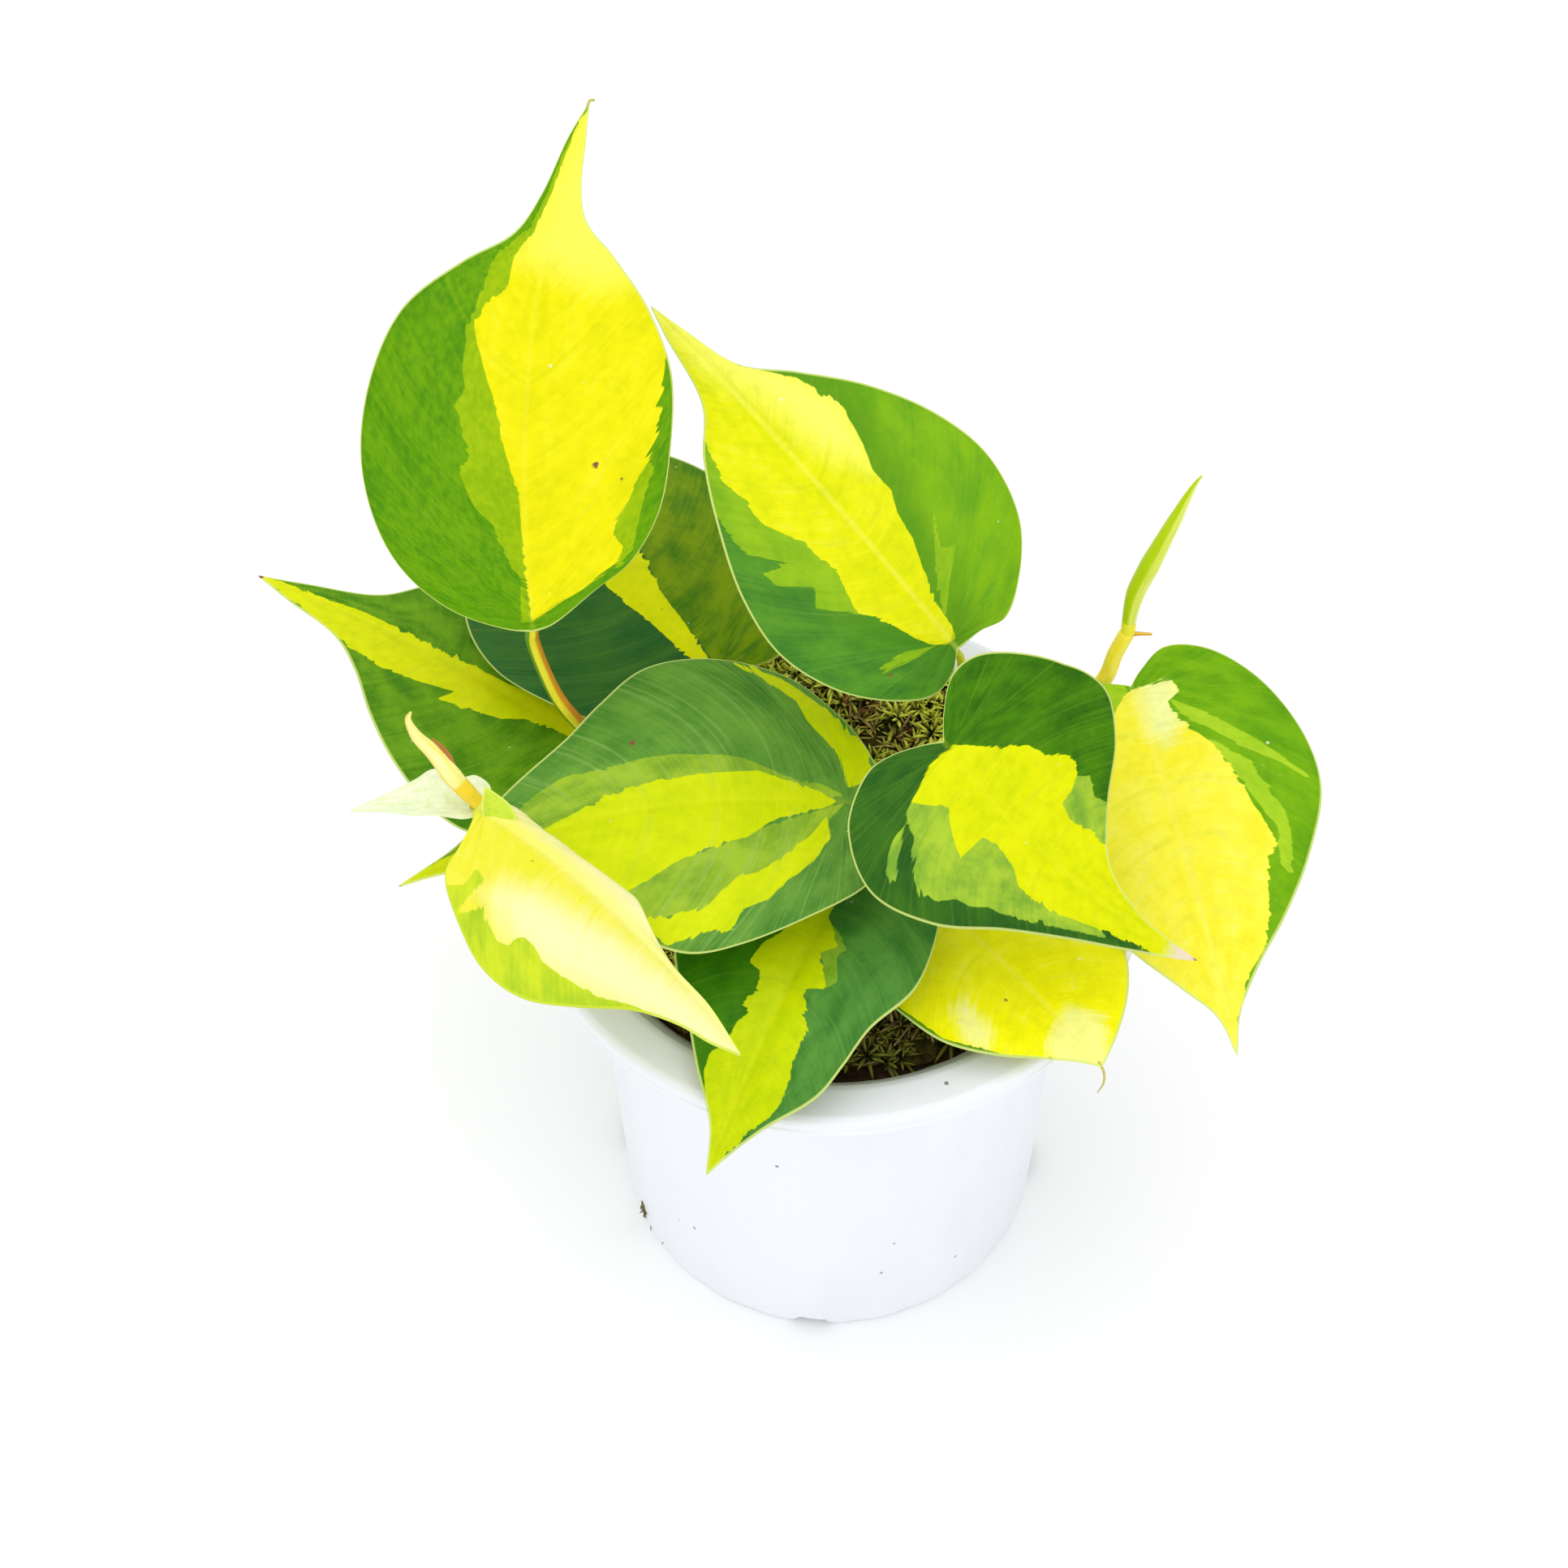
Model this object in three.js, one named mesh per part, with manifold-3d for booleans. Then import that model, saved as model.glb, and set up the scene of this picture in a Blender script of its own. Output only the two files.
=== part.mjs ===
// A potted brasil philodendron: a white nursery pot, soil, moss, three vines and ten leaves.
// Millimetres, +Z up. The pot stands on z = 0 with its axis on the Z axis, and -Y is the front.
import * as THREE from "three";
import { mergeVertices } from "three/addons/utils/BufferGeometryUtils.js";
import Module from "manifold-3d";

const wasm = await Module();
wasm.setup();

const GAP = 0.3; // clearance between pieces that touch

// Pot
const POT_HEIGHT = 116;
const RIM_RADIUS = 62.5;
const RIM_DEPTH = 4; // height of the rim's outer edge
const CREST_RADIUS = 54.4; // the rim's flat top starts here, and slopes down inside it
const SHOULDER_DEPTH = 7; // the wall flares into the rim from this far below the top
const WALL_TOP_RADIUS = 49.8;
const FOOT_RADIUS = 44.8;
const WALL = 1.6;
const FOOT_RING_WIDTH = 3;
const FLOOR_UNDERSIDE = 2.4; // the floor is raised this much, on the foot ring and a centre pad
const FLOOR_THICKNESS = 2;
const CENTRE_PAD_RADIUS = 8;
const DRAIN_HOLE = { count: 5, radius: 4, circle: 26 };
const NOTCH = { count: 4, width: 9, topWidth: 6, height: 2.6, first: -95 };
const POT_SEGMENTS = 40;

// Filling
const SOIL_TOP = POT_HEIGHT - 9;
const MOSS_THICKNESS = 2.6;
const MOSS_BUMP = 1.3;
const MOSS_RINGS = 7;
const FILLING_SEGMENTS = 32;

// Leaves and stems
const BLADE_THICKNESS = 0.8;
const SINUS_DEPTH = 2; // the notch between the lobes ends this far behind the stalk
const HALF_WIDTH_UNIT = 30; // the curl angles are given for this much half width
const SPINE_STEPS = 60;
const OUTLINE_CELLS = 15;
const VEIN_CELLS = 4;
const LOBE_SHARE = 0.34; // share of the outline whose veins start at the stalk
const VEIN_BOW = 0.16; // how far a vein bows back, as a share of the half width
const RIB_POWER = 1.15; // spreads the feet of the veins along the midrib
const PETIOLE_RADIUS = 1.45;
const VINE_RADIUS = 2;
const STALK_MESH = { sides: 6, step: 5 };
const VINE_MESH = { sides: 8, step: 5 };
const BUD_MESH = { sides: 8, step: 3 };
const SPEAR_MESH = { sides: 10, step: 3 };

const COLOUR = {
  pot: 0xf4f6fa,
  soil: 0x3a2a1c,
  moss: 0x55642a,
  vine: 0x9ab83a,
  green: 0x2f7a34,
  lime: 0xd8e020,
  yellow: 0xf2ee10,
  cream: 0xf4f4c0,
};

// Each leaf: "at" is where the stalk meets the blade. From there the midrib runs for "length",
// towards "heading" (degrees from +X in plan) and upwards at "pitch". Over its length it turns by
// "bend" upwards and by "sweep" sideways. The blade is turned about the midrib by "roll", and each
// half [left, right] rises from it at "fold" and turns further by "curl" over HALF_WIDTH_UNIT.
// "left" and "right" are the edge of each half, [along the midrib, out from it], base to tip.
const LEAVES = {
  leaf_top_left: {
    colour: COLOUR.lime,
    at: [-58.7, 20.8, 166],
    length: 108, heading: 97, pitch: 35, bend: -24, sweep: -25, roll: -5, fold: [6, 6], curl: [-14, -14],
    left: [[-1, 5], [4, 16], [14, 26], [30, 32], [46, 32], [60, 27], [70, 16], [77, 7], [86, 3.5], [100, 1.5]],
    right: [[-1, 4], [5, 13], [10, 20], [20, 26], [34, 28.5], [50, 28], [64, 22], [74, 14], [82, 6.5], [100, 2]],
    petiole: [[-26, 15, 120], [-36, 16.5, 123], [-43.7, 17.5, 126], [-50.4, 19.1, 134],
      [-54.5, 19.7, 142], [-57.4, 21, 151], [-59, 21.5, 160]],
    from: "vine_back",
  },
  leaf_top_right: {
    colour: COLOUR.green,
    at: [22.1, 15.3, 167],
    length: 94, heading: 134, pitch: 25, bend: -28, sweep: -8, roll: -10, fold: [8, 8], curl: [-14, -14],
    left: [[-5, 4], [-6, 10], [-2, 17], [6, 24], [18, 28], [31, 26.5], [45, 21], [58, 14], [68, 6.5], [85, 2.5]],
    right: [[-2, 6], [-3, 11], [1, 18], [10, 26], [24, 29.5], [38, 27], [50, 21], [61, 12], [70, 4.5], [84, 1.5]],
    petiole: [[24, 20, 90], [24, 20, 106], [25, 19, 129], [24.8, 17.5, 152], [24, 16.3, 161]],
  },
  leaf_back: {
    colour: COLOUR.green,
    at: [-24.6, 30.1, 136],
    length: 79, heading: 122, pitch: 5, bend: -20, sweep: 0, roll: -7, fold: [-4, -4], curl: [-8, -8],
    left: [[-3, 7], [-3, 14], [3, 22], [14, 29], [30, 34.5], [45, 33.5], [57, 26], [66, 13], [73, 4]],
    right: [[-2, 7], [-3, 14], [4, 22], [16, 27], [32, 29], [46, 27], [57, 22], [66, 12], [73, 4]],
    petiole: [[-13, 14, 115], [-15, 17, 120], [-18, 21, 128], [-22.4, 27, 133.5]],
    from: "vine_back",
  },
  leaf_left: {
    colour: COLOUR.green,
    at: [-50.8, 24.9, 121],
    length: 87, heading: 145, pitch: 5, bend: -22, sweep: 0, roll: 0, fold: [6, 6], curl: [-12, -12],
    left: [[-7, 6], [-9, 14], [-5, 23], [4, 31], [14, 31.5], [27, 27], [39, 20], [49, 12.5], [58, 7.5], [76, 3]],
    right: [[-7, 6], [-9, 13], [-5, 20], [6, 26], [20, 27], [36, 22], [49, 15], [58, 7], [75, 2]],
    petiole: [[-20, 11, 90], [-21, 11.5, 107], [-32, 15, 115], [-44, 20.5, 119.5]],
  },
  leaf_centre: {
    colour: COLOUR.lime,
    at: [2.3, -4.9, 142],
    length: 89.7, heading: 177.5, pitch: 6, bend: -22, sweep: 24, roll: 0, fold: [8, 8], curl: [-16, -16],
    left: [[-6, 6], [-8, 13], [-3, 21], [8, 28], [22, 33], [35, 34], [47, 28], [57, 18], [66, 8], [79, 2.5]],
    right: [[-6, 5], [-4, 11], [3, 21], [12, 30], [25, 34.5], [36, 33.5], [45, 26], [52, 19], [64, 10.5], [76, 3]],
    petiole: [[8, 11, 90], [8, 10, 110], [8.5, 4, 128], [6.5, -3, 138]],
  },
  leaf_young: {
    colour: COLOUR.cream,
    at: [-66.3, -19.7, 160],
    length: 68, heading: -33.6, pitch: -6, bend: -14, sweep: -18, roll: -26, fold: [15, -2], curl: [-200, -10],
    left: [[-2, 4], [1, 7], [8, 12], [16, 14], [26, 11.5], [36, 4.5], [46, 1.6], [56, 1]],
    right: [[0, 5], [2, 12], [4, 19], [11, 26], [23, 31.5], [34, 30], [43, 23], [51, 12.5], [57, 7], [63, 4]],
    petiole: [[-69, -6, 143.5], [-65, -11.5, 150], [-64.6, -17, 156.5]],
    from: "vine_left",
  },
  leaf_middle_right: {
    colour: COLOUR.lime,
    at: [21.1, -12.5, 170],
    length: 66.4, heading: -44.8, pitch: -33, bend: -4, sweep: 40, roll: 20, fold: [4, 4], curl: [-14, -14],
    left: [[-6, 3], [-11, 9], [-11, 15], [-4, 24], [6, 30], [15, 31], [24, 26], [31, 16], [39, 7], [50, 2.5]],
    right: [[-4, 4], [-6, 10], [-6, 15], [0, 24], [10, 28.5], [20, 24.5], [30, 16], [40, 10], [52, 5]],
    petiole: [[18.5, 9, 113], [23, 7, 124], [22.5, 0, 146], [20.2, -9, 165]],
    from: "vine_right",
  },
  leaf_right: {
    colour: COLOUR.yellow,
    at: [60.3, 28.6, 132],
    length: 79, heading: -76.6, pitch: 0, bend: -26, sweep: 0, roll: 4, fold: [4, 4], curl: [-16, -16],
    left: [[-5, 3], [-9, 9], [-7, 17], [1, 25], [14, 30], [29, 30.5], [43, 24], [54, 16], [63, 8], [71, 2.5]],
    right: [[-4, 5], [-7, 11], [-4, 18], [4, 24], [16, 27.5], [32, 27], [44, 22], [55, 15], [64, 7.5], [71, 2]],
    petiole: [[37, 20, 118.5], [44, 22, 122], [51.5, 25.5, 127], [57.5, 29, 130]],
    from: "vine_right",
  },
  leaf_front: {
    colour: COLOUR.green,
    at: [3.7, -10.6, 129],
    length: 70.3, heading: -115.3, pitch: 6, bend: -40, sweep: 0, roll: 6, fold: [12, 12], curl: [-12, -12],
    left: [[-6, 5], [-7, 12], [0, 19], [10, 23], [24, 24.5], [34, 20], [42, 18], [49, 15.5], [58, 8], [66, 2.5]],
    right: [[-6, 5], [-7, 12], [0, 20], [12, 26], [24, 27], [35, 22], [44, 15], [52, 9.5], [61, 3]],
    petiole: [[-1, 12, 90], [-0.5, 11, 108], [2, 3.5, 121], [4.6, -4.5, 127.5]],
  },
  leaf_lower_right: {
    colour: COLOUR.yellow,
    at: [12.6, -8, 121],
    length: 58, heading: -44, pitch: 5, bend: -14, sweep: -8, roll: -4, fold: [6, 6], curl: [-8, -8],
    left: [[-5, 5], [-6, 10], [0, 17], [10, 23], [22, 25], [34, 22.5], [43, 17.5], [48, 12], [53, 6]],
    right: [[-4, 5], [-5, 10], [1, 18], [12, 24], [24, 24.5], [35, 22.5], [45, 15], [51, 8], [55, 3]],
    petiole: [[-3, -4, 90], [-2.5, -4, 108], [2, -3, 116], [8, -5, 120]],
  },
};

// A young leaf still rolled up, and the pale sheath that wrapped the shoot before it.
const SHEATH = {
  at: [-68.6, -11, 150.6],
  length: 26, heading: 178, pitch: 4, bend: -10, sweep: 8, roll: 10, fold: [24, 24], curl: [10, 10],
  left: [[2, 2.2], [6, 3.4], [11, 3.6], [16, 2.6], [21, 1.3]],
  right: [[2, 2.4], [6, 4], [11, 4], [16, 2.6], [21, 1.2]],
};
const SPEAR = {
  route: [[58.8, 36.4, 142.6], [58.9, 36.7, 146], [59.8, 37.8, 153], [62.2, 38.7, 161], [65.7, 40, 172],
    [68.1, 40.7, 180], [69.4, 40.8, 184]],
  radii: [1.5, 1.5, 1.9, 2.1, 1.5, 0.8, 0.35],
};
const SHOOT = {
  route: [[-68.9, -12.6, 152.3], [-70.5, -12.4, 155], [-73.1, -10.7, 159], [-75.8, -8.3, 163],
    [-78.4, -6.8, 167], [-80.4, -5.5, 170]],
  radii: [1.6, 1.6, 1.95, 1.65, 1.25, 0.5],
};

const VINES = {
  vine_back: [[-6, 8, 88], [-6, 9, 104], [-9, 12, 112], [-15, 14.5, 116], [-23, 15, 119], [-27, 15, 120]],
  vine_left: [[-16, -2, 88], [-17, -2, 104], [-26, 1, 112], [-40, 3, 117.5], [-53, 2.5, 123], [-63, 1.5, 129],
    [-68.3, -1.5, 136], [-69.5, -7, 144], [-68.4, -11.6, 150]],
  vine_right: [[14, 6, 88], [14, 7, 104], [20, 9.5, 111], [30, 15.5, 116], [41, 23, 120.5], [50.5, 30.5, 124.5],
    [55.3, 34.6, 130], [56.6, 35.4, 136], [58.5, 36.2, 141.6]],
};

const radians = THREE.MathUtils.degToRad;

function vector(point) {
  return new THREE.Vector3(...point);
}

// A closed geometry as a solid for cutting and joining.
function solidOf(geometry) {
  const bare = geometry.clone();
  bare.deleteAttribute("normal");
  bare.deleteAttribute("uv");
  const merged = mergeVertices(bare, 1e-4);
  return new wasm.Manifold(
    new wasm.Mesh({
      numProp: 3,
      vertProperties: merged.attributes.position.array,
      triVerts: new Uint32Array(merged.index.array),
    }),
  );
}

function geometryOf(solid) {
  const mesh = solid.getMesh();
  const geometry = new THREE.BufferGeometry();
  geometry.setAttribute("position", new THREE.BufferAttribute(mesh.vertProperties, 3));
  geometry.setIndex(new THREE.BufferAttribute(mesh.triVerts, 1));
  geometry.computeVertexNormals();
  return geometry;
}

// The largest of the separate bodies of a solid.
function largest(solid) {
  return solid.decompose().reduce((a, b) => (a.volume() > b.volume() ? a : b));
}

// A round stalk along a smooth curve through the points, with its radius given at each of them.
function stalk(points, radii, { sides, step } = STALK_MESH) {
  const curve = new THREE.CatmullRomCurve3(points.map(vector));
  const steps = Math.ceil(curve.getLength() / step);
  const section = new THREE.Shape();
  for (let i = 0; i < sides; i++) {
    const turn = (2 * Math.PI * i) / sides;
    if (i === 0) section.moveTo(1, 0);
    else section.lineTo(Math.cos(turn), Math.sin(turn));
  }
  const geometry = new THREE.ExtrudeGeometry(section, { steps, extrudePath: curve, bevelEnabled: false });
  return taper(geometry, curve, steps, points, radii);
}

// Scales each ring of a swept section of radius 1 about the curve's own point there.
function taper(geometry, curve, steps, points, radii) {
  const centres = curve.getSpacedPoints(steps);
  const marks = points.map((p) => vector(p));
  const reach = [0];
  for (let i = 1; i < marks.length; i++) reach.push(reach[i - 1] + marks[i].distanceTo(marks[i - 1]));
  const total = reach[reach.length - 1];
  const radiusAt = (share) => {
    const s = share * total;
    const i = Math.min(Math.max(reach.findIndex((r) => r >= s), 1), reach.length - 1);
    return THREE.MathUtils.mapLinear(s, reach[i - 1], reach[i], radii[i - 1], radii[i]);
  };
  const position = geometry.attributes.position;
  const vertex = new THREE.Vector3();
  for (let i = 0; i < position.count; i++) {
    vertex.fromBufferAttribute(position, i);
    let nearest = 0;
    centres.forEach((c, k) => {
      if (c.distanceToSquared(vertex) < centres[nearest].distanceToSquared(vertex)) nearest = k;
    });
    const centre = centres[nearest];
    vertex.sub(centre).multiplyScalar(radiusAt(nearest / steps)).add(centre);
    position.setXYZ(i, vertex.x, vertex.y, vertex.z);
  }
  return geometry;
}

// Direction of a midrib at a share m of its length.
function direction(leaf, m) {
  const pitch = radians(leaf.pitch + leaf.bend * m);
  const heading = radians(leaf.heading + leaf.sweep * m);
  return new THREE.Vector3(
    Math.cos(pitch) * Math.cos(heading),
    Math.cos(pitch) * Math.sin(heading),
    Math.sin(pitch),
  );
}

// Gives the function from flat leaf coordinates, u along the midrib and v to its left, to space.
function bentBlade(leaf) {
  const step = leaf.length / SPINE_STEPS;
  const spine = [vector(leaf.at)];
  for (let i = 0; i < SPINE_STEPS; i++) {
    const ahead = direction(leaf, (i + 0.5) / SPINE_STEPS).multiplyScalar(step);
    spine.push(spine[i].clone().add(ahead));
  }
  return (u, v) => {
    const along = THREE.MathUtils.clamp(u, 0, leaf.length);
    const m = along / leaf.length;
    const i = Math.min(Math.floor(m * SPINE_STEPS), SPINE_STEPS - 1);
    const point = spine[i].clone().lerp(spine[i + 1], m * SPINE_STEPS - i);
    const ahead = direction(leaf, m);
    const heading = radians(leaf.heading + leaf.sweep * m);
    const left = new THREE.Vector3(-Math.sin(heading), Math.cos(heading), 0);
    left.applyAxisAngle(ahead, radians(leaf.roll));
    const up = ahead.clone().cross(left);
    const half = v >= 0 ? 0 : 1;
    const width = Math.abs(v);
    const fold = radians(leaf.fold[half]);
    const turn = radians(leaf.curl[half]) / HALF_WIDTH_UNIT + 1e-7;
    const out = (Math.sin(fold + turn * width) - Math.sin(fold)) / turn;
    const rise = (Math.cos(fold) - Math.cos(fold + turn * width)) / turn;
    point.addScaledVector(ahead, u - along);
    point.addScaledVector(left, half === 0 ? out : -out);
    point.addScaledVector(up, rise);
    return point;
  };
}

// A leaf's edge points, evenly spaced from the notch at the stalk to the tip.
function edge(leaf, side, sinus) {
  const sign = side === "left" ? 1 : -1;
  const corners = [[-sinus, 0], ...leaf[side], [leaf.length, 0]];
  const curve = new THREE.CatmullRomCurve3(corners.map(([u, v]) => new THREE.Vector3(u, sign * v, 0)));
  curve.arcLengthDivisions = 400;
  return curve.getSpacedPoints(OUTLINE_CELLS);
}

// A blade with its cells laid along the veins: each row of a half runs from the midrib to the edge.
// The under face repeats the upper one, set back along the normals.
function blade(leaf, sinus = SINUS_DEPTH, veinCells = VEIN_CELLS) {
  const place = bentBlade(leaf);
  const points = [];
  const known = new Map();
  const vertex = (name, u, v) => {
    if (!known.has(name)) {
      known.set(name, points.length);
      points.push(place(u, v));
    }
    return known.get(name);
  };
  const faces = [];
  const rim = [];
  for (const side of ["left", "right"]) {
    const outer = edge(leaf, side, sinus);
    const at = (i, j) => {
      const share = Math.max(0, (i / OUTLINE_CELLS - LOBE_SHARE) / (1 - LOBE_SHARE));
      const rib = leaf.length * share ** RIB_POWER;
      if (i === OUTLINE_CELLS) return vertex("tip", leaf.length, 0);
      if (j === 0) return vertex("rib" + rib, rib, 0);
      const r = j / veinCells;
      const end = outer[i];
      const bow = VEIN_BOW * Math.abs(end.y) * Math.min(1, rib / 10) * 4 * r * (1 - r);
      const u = rib + (end.x - rib) * r - bow;
      if (i === 0) return vertex("notch" + j, u, 0);
      return vertex(side + i + "," + j, u, end.y * r);
    };
    const face = (a, b, c) => {
      if (a === b || b === c || c === a) return;
      faces.push(side === "left" ? [a, b, c] : [a, c, b]);
    };
    for (let i = 0; i < OUTLINE_CELLS; i++) {
      for (let j = 0; j < veinCells; j++) {
        face(at(i, j), at(i + 1, j), at(i + 1, j + 1));
        face(at(i, j), at(i + 1, j + 1), at(i, j + 1));
      }
      const along = [at(i, veinCells), at(i + 1, veinCells)];
      rim.push(side === "left" ? along : along.reverse());
    }
  }
  const upper = new THREE.BufferGeometry().setFromPoints(points);
  upper.setIndex(faces.flat());
  upper.computeVertexNormals();
  const normal = new THREE.Vector3();
  const count = points.length;
  const under = points.map((p, i) => {
    normal.fromBufferAttribute(upper.attributes.normal, i);
    return p.clone().addScaledVector(normal, -BLADE_THICKNESS);
  });
  const closed = new THREE.BufferGeometry().setFromPoints([...points, ...under]);
  closed.setIndex([
    ...faces.flat(),
    ...faces.flatMap(([a, b, c]) => [a + count, c + count, b + count]),
    ...rim.flatMap(([a, b]) => [a, b, b + count, a, b + count, a + count]),
  ]);
  return closed;
}

// A leaf with its stalk, which runs on a little way under the blade. Where the stalk grows from a
// vine, its foot is cut to the vine's surface.
function leafSolid(leaf) {
  const place = bentBlade(leaf);
  const under = (u, depth) => {
    const down = direction(leaf, 0).cross(place(u, 1).sub(place(u, 0))).normalize();
    return place(u, 0).addScaledVector(down, -depth).toArray();
  };
  const route = [...leaf.petiole, under(-1.2, 1.1), under(4, 0.9), under(9, 0.5)];
  const radii = route.map(() => PETIOLE_RADIUS);
  radii.splice(-3, 3, PETIOLE_RADIUS * 0.9, PETIOLE_RADIUS * 0.7, PETIOLE_RADIUS * 0.4);
  let petiole = solidOf(stalk(route, radii));
  if (leaf.from) petiole = largest(petiole.subtract(vineSolid(VINES[leaf.from], VINE_RADIUS + GAP)));
  return petiole.add(solidOf(blade(leaf)));
}

function vineSolid(route, radius = VINE_RADIUS) {
  return solidOf(stalk(route, route.map(() => radius), VINE_MESH));
}

// Everything that stands in the soil, thickened by the gap, as one cutter for its holes.
function stemCutters() {
  const rooted = Object.values(LEAVES).filter((leaf) => !leaf.from);
  const stems = [
    ...Object.values(VINES).map((route) => vineSolid(route, VINE_RADIUS + GAP)),
    ...rooted.map(({ petiole }) => {
      const radius = PETIOLE_RADIUS + GAP;
      const foot = [...petiole];
      foot[0] = [foot[0][0], foot[0][1], foot[0][2] - GAP];
      return solidOf(stalk(foot, foot.map(() => radius)));
    }),
  ];
  return stems.reduce((all, stem) => all.add(stem));
}

function turned(profile, segments) {
  const outline = profile.map(([r, z]) => new THREE.Vector2(r, z));
  return new THREE.LatheGeometry(outline, segments).rotateX(Math.PI / 2);
}

// The wall's outer radius at a height, a straight taper from the foot to the shoulder.
function wallRadius(z) {
  return THREE.MathUtils.mapLinear(z, 0, POT_HEIGHT - SHOULDER_DEPTH, FOOT_RADIUS, WALL_TOP_RADIUS);
}

function potGeometry() {
  const lip = POT_HEIGHT - RIM_DEPTH;
  const shoulder = POT_HEIGHT - SHOULDER_DEPTH;
  const floorTop = FLOOR_UNDERSIDE + FLOOR_THICKNESS;
  const profile = [
    [0, 0],
    [CENTRE_PAD_RADIUS, 0],
    [CENTRE_PAD_RADIUS + 1, FLOOR_UNDERSIDE],
    [FOOT_RADIUS - FOOT_RING_WIDTH - 1, FLOOR_UNDERSIDE],
    [FOOT_RADIUS - FOOT_RING_WIDTH, 0],
    [FOOT_RADIUS - 0.8, 0],
    [wallRadius(1.2), 1.2],
    [wallRadius(shoulder), shoulder],
    [WALL_TOP_RADIUS + 2.6, POT_HEIGHT - 4.8],
    [CREST_RADIUS, POT_HEIGHT - 2.2],
    [RIM_RADIUS - WALL, POT_HEIGHT - 1.9],
    [RIM_RADIUS - WALL, lip],
    [RIM_RADIUS, lip],
    [RIM_RADIUS, lip + 2.2],
    [RIM_RADIUS - 0.6, POT_HEIGHT - 0.7],
    [RIM_RADIUS - 2, POT_HEIGHT],
    [CREST_RADIUS, POT_HEIGHT],
    [CREST_RADIUS - 1.4, POT_HEIGHT - 0.6],
    [WALL_TOP_RADIUS, POT_HEIGHT - 5],
    [wallRadius(shoulder) - WALL, shoulder - 1],
    [wallRadius(floorTop + 3) - WALL, floorTop + 3],
    [wallRadius(floorTop) - WALL - 2, floorTop],
    [0, floorTop],
  ];
  let pot = solidOf(turned(profile, POT_SEGMENTS));
  const hole = new THREE.CylinderGeometry(DRAIN_HOLE.radius, DRAIN_HOLE.radius, 20, 20).rotateX(Math.PI / 2);
  for (let i = 0; i < DRAIN_HOLE.count; i++) {
    const turn = (2 * Math.PI * (i + 0.5)) / DRAIN_HOLE.count;
    const x = DRAIN_HOLE.circle * Math.cos(turn);
    const y = DRAIN_HOLE.circle * Math.sin(turn);
    pot = pot.subtract(solidOf(hole.clone().translate(x, y, 0)));
  }
  const arch = new THREE.Shape([
    new THREE.Vector2(-NOTCH.width / 2 - 0.6, -1),
    new THREE.Vector2(NOTCH.width / 2 + 0.6, -1),
    new THREE.Vector2(NOTCH.topWidth / 2, NOTCH.height),
    new THREE.Vector2(-NOTCH.topWidth / 2, NOTCH.height),
  ]);
  const reach = FOOT_RING_WIDTH + 8;
  const notch = new THREE.ExtrudeGeometry(arch, { depth: reach, bevelEnabled: false });
  notch.rotateX(Math.PI / 2).rotateZ(Math.PI / 2).translate(FOOT_RADIUS - FOOT_RING_WIDTH - 3, 0, 0);
  for (let i = 0; i < NOTCH.count; i++) {
    const turn = radians(NOTCH.first + (360 * i) / NOTCH.count);
    pot = pot.subtract(solidOf(notch.clone().rotateZ(turn)));
  }
  return geometryOf(pot);
}

function soilGeometry(cutters) {
  const bottom = FLOOR_UNDERSIDE + FLOOR_THICKNESS + GAP;
  const inner = (z) => wallRadius(z) - WALL - GAP;
  const profile = [
    [0, bottom],
    [inner(bottom) - 3, bottom],
    [inner(bottom + 4) - 0.2, bottom + 4],
    [inner(SOIL_TOP - 1), SOIL_TOP - 1],
    [inner(SOIL_TOP) - 1, SOIL_TOP],
    [0, SOIL_TOP],
  ];
  return geometryOf(solidOf(turned(profile, FILLING_SEGMENTS)).subtract(cutters));
}

// A cushion of moss over the soil, with low mounds where its tufts stand.
function mossGeometry(cutters) {
  const bottom = SOIL_TOP + GAP;
  const edgeRadius = wallRadius(SOIL_TOP) - WALL - 0.8;
  const profile = [[0, bottom], [edgeRadius, bottom], [edgeRadius, bottom + 0.6]];
  for (let i = MOSS_RINGS - 1; i > 0; i--) profile.push([(edgeRadius * i) / MOSS_RINGS, bottom + MOSS_THICKNESS]);
  profile.push([0, bottom + MOSS_THICKNESS]);
  const geometry = turned(profile, FILLING_SEGMENTS);
  const position = geometry.attributes.position;
  for (let i = 0; i < position.count; i++) {
    if (position.getZ(i) < bottom + 1) continue;
    const x = position.getX(i);
    const y = position.getY(i);
    const mound = Math.sin(x * 0.31 + 1) * Math.cos(y * 0.27) + 0.6 * Math.sin(x * 0.17 - y * 0.4);
    position.setZ(i, position.getZ(i) + (MOSS_BUMP * mound) / 1.6);
  }
  return geometryOf(solidOf(geometry).subtract(cutters));
}

const plant = new THREE.Group();

function addPiece(name, geometry, colour, roughness) {
  const material = new THREE.MeshStandardMaterial({ color: colour, roughness, metalness: 0 });
  const mesh = new THREE.Mesh(geometry, material);
  mesh.name = name;
  plant.add(mesh);
}

const cutters = stemCutters();
addPiece("pot", potGeometry(), COLOUR.pot, 0.3);
addPiece("soil", soilGeometry(cutters), COLOUR.soil, 0.95);
addPiece("moss_mat", mossGeometry(cutters), COLOUR.moss, 0.9);

for (const [name, route] of Object.entries(VINES)) {
  addPiece(name, geometryOf(vineSolid(route)), COLOUR.vine, 0.5);
}
for (const [name, leaf] of Object.entries(LEAVES)) {
  addPiece(name, geometryOf(leafSolid(leaf)), leaf.colour, 0.4);
}

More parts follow.
